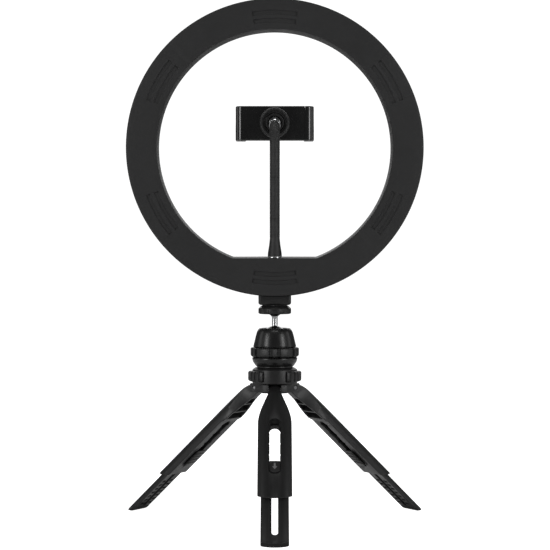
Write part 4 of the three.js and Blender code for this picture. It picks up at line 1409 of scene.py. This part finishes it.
def make_arm():
    low, high = box_mm("arm_anchor")
    centre = (0, ARM_Y)
    anchor = lathe("arm_root", [
        (NEAR_AXIS, low.z), (3, low.z, 0.3), (3, high.z - 1.0), (6, high.z - 1.0, 0.2), (6, high.z, 0.3),
        (NEAR_AXIS, high.z)], 64, centre)
    nut = shift(prism("root_nut", turned_outline(lambda angle: 5.6, 6), low.z + 0.4, low.z + 4.4), y=ARM_Y)
    finish_piece(fuse(anchor, nut), "ring", STEEL, "arm_anchor")

    first, second = ARM_SEAMS
    stretches = [
        ("gooseneck_lower", ("ring", "arm_low"), ARM_FOOT, first, (ARM_FOOT + 0.5, 246)),
        ("gooseneck_middle", ("arm_low", "arm_middle"), first, second, (first + 0.4, first + 12)),
        ("gooseneck_upper", ("arm_middle", "arm_high"), second, None, (second + 0.4, second + 12)),
    ]
    for node, bodies, low_z, high_z, (start, end) in stretches:
        points = arm_path(low_z, high_z)

        def radius_at(i):
            if node != "gooseneck_lower":
                return SLEEVE_RADIUS - 0.25
            return soft_follow([(ARM_FOOT, 6.2), (ARM_FOOT + 3.6, 5.9), (ARM_FOOT + 10, 4.9),
                                (ARM_FOOT + 16, SLEEVE_RADIUS - 0.25)], points[i].z)

        tube = sleeve(node + "_tube", points, radius_at)
        tube.data.materials.append(SLEEVE)
        rib_points = [p for p in points if p.z > ARM_FOOT + 17]
        ribs = grow(node + "_ribs", RINGS_ON_PATH, path_curve(node + "_path", rib_points), **{
            "Pitch": 1.5, "Ring Radius": SLEEVE_RADIUS - 0.42, "Bead Radius": 0.42, "Material": SLEEVE})
        ends = (Vector((0, ARM_Y, start)), Vector((0, ARM_Y, end)))
        finish_piece(tube, bodies, SLEEVE, node, bends=ends)
        finish_piece(ribs, bodies, SLEEVE, bends=ends)

    across = Matrix.Translation((0, 0, CLIP_Z)) @ Matrix.Rotation(-math.pi / 2, 4, "X")
    ferrule = lathe("ferrule_turning", [
        (NEAR_AXIS, 0.3 - SLEEVE_END), (5, 0.3 - SLEEVE_END, 0.2), (5, -6.5, 0.2), (4.6, -6.3, 0.1),
        (NEAR_AXIS, -6.3)], 64)
    along_end = Matrix.Translation(CLIP_BALL) @ Matrix.Rotation(ARM_RISE - math.pi / 2, 4, "X")
    finish_piece(moved(ferrule, along_end), "arm_high", CHROME, "arm_ferrule")
    low, high = box_mm("clip_ball")
    middle, radius = (low.y + high.y) / 2, (high.y - low.y) / 2
    profile = [(NEAR_AXIS, low.y)] + [
        (radius * math.cos(a), middle + radius * math.sin(a))
        for a in (math.radians(-90 + 6 * i) for i in range(1, 30))] + [(NEAR_AXIS, high.y)]
    finish_piece(moved(lathe("clip_ball_turning", profile, 72), across), "arm_high", CHROME, "clip_ball")


# ---------------------------------------------------------------- phone clip

CLIP_AXIS_Y = joints["clip_roll"]["pos_m"][1] / MM
SHROUD_START, SHROUD_END = 30.7, 33.8       # distances from the tripod's axis, along Y
SHROUD_HALF = 12.2
CLIP_CORNER = 6.5
JAW_THICKNESS = 4.5
RODS_Y = 32.25                # behind the tripod axis
RODS_Z = 9.5


def make_lock_nut():
    low, high = box_mm("clip_lock_nut")
    across = Matrix.Translation((0, 0, CLIP_Z)) @ Matrix.Rotation(-math.pi / 2, 4, "X")

    def radius_at(angle):
        return 13.25 + 0.2 * math.cos(math.radians(angle * 60))

    levels = [(low.y, 1.6), (low.y + 0.25, 0.9), (low.y + 0.8, 0.35), (low.y + 1.3, 0.05), (low.y + 1.8, 0),
              (high.y - 0.8, 0), (high.y - 0.3, 0.25), (high.y, 0.8)]
    nut = ribbed_ring("clip_nut_body", radius_at, levels, 10.2, 720)
    lip = lathe("nut_lip", [
        (8.7, low.y + 1.4, 0.3), (10.4, low.y + 1.4), (10.4, high.y), (8.7, high.y, 0.3)], 128)
    finish_piece(moved(fuse(nut, lip), across), "clip_swivel", SATIN, "clip_lock_nut", sharp=30)


def make_clip_socket():
    low, high = box_mm("clip_socket")
    radius = (high.x - low.x) / 2
    across = Matrix.Translation((0, 0, CLIP_Z)) @ Matrix.Rotation(-math.pi / 2, 4, "X")
    ball_low, ball_high = box_mm("clip_ball")
    cup_radius = (ball_high.y - ball_low.y) / 2 + 0.4
    cup = [(cup_radius * math.cos(math.radians(a)), CLIP_AXIS_Y + cup_radius * math.sin(math.radians(a)))
           for a in range(84, -24, -6)]
    socket = lathe("clip_socket_cup", [
        (NEAR_AXIS, CLIP_AXIS_Y + cup_radius), *cup, (5.95, low.y, 0.2), (radius, low.y, 0.5), (radius, high.y),
        (NEAR_AXIS, high.y)], 96)
    finish_piece(moved(socket, across), "clip", SATIN, "clip_socket")


def inset_outline(outline, inset):
    """Moves every side of a flat outline inwards, for an outline that runs anticlockwise."""
    result = []
    count = len(outline)
    for i, point in enumerate(outline):
        before = (Vector(point) - Vector(outline[i - 1])).normalized()
        after = (Vector(outline[(i + 1) % count]) - Vector(point)).normalized()
        first, second = Vector((-before.y, before.x)), Vector((-after.y, after.x))
        result.append(tuple(Vector(point) + (first + second) * inset / max(1 + first.dot(second), 0.4)))
    return result


def rounded_bar(name, outline, low_z, high_z, joint_x, edge=0.95, steps=6):
    """A flat (x, y) outline raised between two heights: soft top and bottom edges, but square at joint_x."""
    levels = [(edge * (1 - math.sin(a)), edge * (1 - math.cos(a)))
              for a in (math.pi / 2 * i / steps for i in range(steps + 1))]
    rows = [(low_z + rise, inset) for inset, rise in levels]
    rows += [(high_z - rise, inset) for inset, rise in levels[::-1]]
    loops = []
    for z, inset in rows:
        drawn = zip(outline, inset_outline(outline, inset))
        loops.append([(joint_x if abs(point[0] - joint_x) < 0.01 else x, y, z) for point, (x, y) in drawn])
    return loft(name, loops)


def corner_arc(x, y, radius, start, steps=14):
    """A quarter circle about (x, y), anticlockwise from start in degrees."""
    angles = [math.radians(start + 90 * i / steps) for i in range(steps + 1)]
    return [(x + radius * math.cos(a), y + radius * math.sin(a)) for a in angles]


def make_clip():
    low, high = box_mm("clip_back")
    jaw_low, jaw_high = box_mm("clip_moving_jaw")
    half_height = (high.z - low.z) / 2
    tray_front = AXIS_Y + 36
    lip = 9
    wall = low.x + JAW_THICKNESS
    body = rounded_bar("clip_tray", fillet([
        *corner_arc(low.x + CLIP_CORNER, low.y + CLIP_CORNER, CLIP_CORNER, 180),
        (high.x, low.y), (high.x, tray_front), (wall, tray_front, 0.8),
        (wall, high.y - 2.8, 0.8), (low.x + lip, high.y - 2.8, 1.05), (low.x + lip, high.y, 1.05),
        (low.x, high.y, 2)], steps=14), low.z, high.z, high.x)
    hollow = block("tray_hollow", (low.x + 4.8, low.y + 1.8, low.z + 2.6),
                   (high.x + 1, tray_front - 1.8, high.z - 2.6))
    finish_piece(cut(body, hollow), "clip", GLOSS, "clip_back", sharp=30)

    foot = high.x + 0.3
    wall = jaw_high.x - JAW_THICKNESS
    jaw = rounded_bar("clip_jaw", fillet([
        (foot, jaw_low.y), *corner_arc(jaw_high.x - CLIP_CORNER, jaw_low.y + CLIP_CORNER, CLIP_CORNER, 270),
        (jaw_high.x, jaw_high.y, 2),
        (jaw_high.x - lip, jaw_high.y, 1.05), (jaw_high.x - lip, jaw_high.y - 2.8, 1.05),
        (wall, jaw_high.y - 2.8, 0.8), (wall, tray_front, 0.8), (foot, tray_front)],
        steps=14), low.z, high.z, foot)
    shroud = block("jaw_shroud", (foot - 2, AXIS_Y + SHROUD_START, CLIP_Z - SHROUD_HALF),
                   (foot + 1, AXIS_Y + SHROUD_END, CLIP_Z + SHROUD_HALF))
    tongue = block("jaw_tongue", (-8, AXIS_Y + 30.7, CLIP_Z - 6), (foot - 1, AXIS_Y + 33.8, CLIP_Z + 6))
    holes = []
    for side in (-1, 1):
        hole = prism("rod_hole", turned_outline(lambda angle: 1.4, 24), foot - 3, wall + 3)
        moved(hole, Matrix.Translation((0, AXIS_Y + RODS_Y, CLIP_Z + side * RODS_Z))
              @ Matrix.Rotation(math.pi / 2, 4, "Y"))
        holes.append(hole)
    finish_piece(cut(fuse(jaw, shroud, tongue), *holes), "jaw", GLOSS, "clip_moving_jaw", sharp=30)

    for number in (1, 2):
        rod_low, rod_high = box_mm(f"guide_rod_{number}")
        rod = lathe(f"guide_rod_fine_{number}", [
            (NEAR_AXIS, rod_low.x), (1.1, rod_low.x, 0.3), (1.1, rod_high.x, 0.3),
            (NEAR_AXIS, rod_high.x)], 32)
        middle = (rod_low + rod_high) / 2
        moved(rod, Matrix.Translation((0, middle.y, middle.z)) @ Matrix.Rotation(math.pi / 2, 4, "Y"))
        finish_piece(rod, "jaw", STEEL, f"guide_rod_{number}")
    spring_low, spring_high = box_mm("clip_spring")
    spring = wound_spring("clip_spring_turns", (spring_low.x + 0.3, AXIS_Y + RODS_Y, CLIP_Z),
                          (spring_high.x - 0.3, AXIS_Y + RODS_Y, CLIP_Z), 1.6, 0.24, 0.7)
    finish_piece(spring, "clip", STEEL, "clip_spring")
    make_clip_pads(half_height)


def make_clip_pads(half_height):
    """Rubber pads with raised bars, so that a phone doesn't slip."""
    for node, body, inward in (("fixed_pad", "clip", 1), ("moving_pad", "jaw", -1)):
        low, high = box_mm(node)
        pad = round_edges(block(node + "_rubber", low, high), 0.25)
        ridges = []
        face = high.x if inward > 0 else low.x
        for i in range(5):
            y = low.y + 1.4 + 1.6 * i
            corners = sorted((face - inward * 0.3, face + inward * 0.35))
            ridge = block("ridge", (corners[0], y, low.z + 1), (corners[1], y + 0.8, high.z - 1))
            ridges.append(round_edges(ridge, 0.15))
        finish_piece(merge_pieces(pad, *ridges), body, RUBBER, node)
    low, high = box_mm("back_pad")
    pad = round_edges(block("back_pad_rubber", low, (high.x, high.y - 0.3, high.z)), 0.3)
    ridges = []
    for i in range(14):
        x = low.x + 1.5 + 3.05 * i
        ridge = block("ridge", (x, low.y + 0.5, low.z + 1), (x + 1.3, high.y, high.z - 1))
        ridges.append(round_edges(ridge, 0.12))
    finish_piece(merge_pieces(pad, *ridges), "clip", RUBBER, "back_pad")


# ---------------------------------------------------------------- the whole object

make_camera()
make_studio()
make_ring_shell()
make_diffuser()
make_led_board()
make_driver_board()
make_mount_block()
make_inlet()
make_thumb_wheel()
make_small_turnings()
make_ball()
make_housing()
make_lock_ring()
make_head_base()
make_collar()
make_hub()
make_legs()
make_arm()
make_lock_nut()
make_clip_socket()
make_clip()
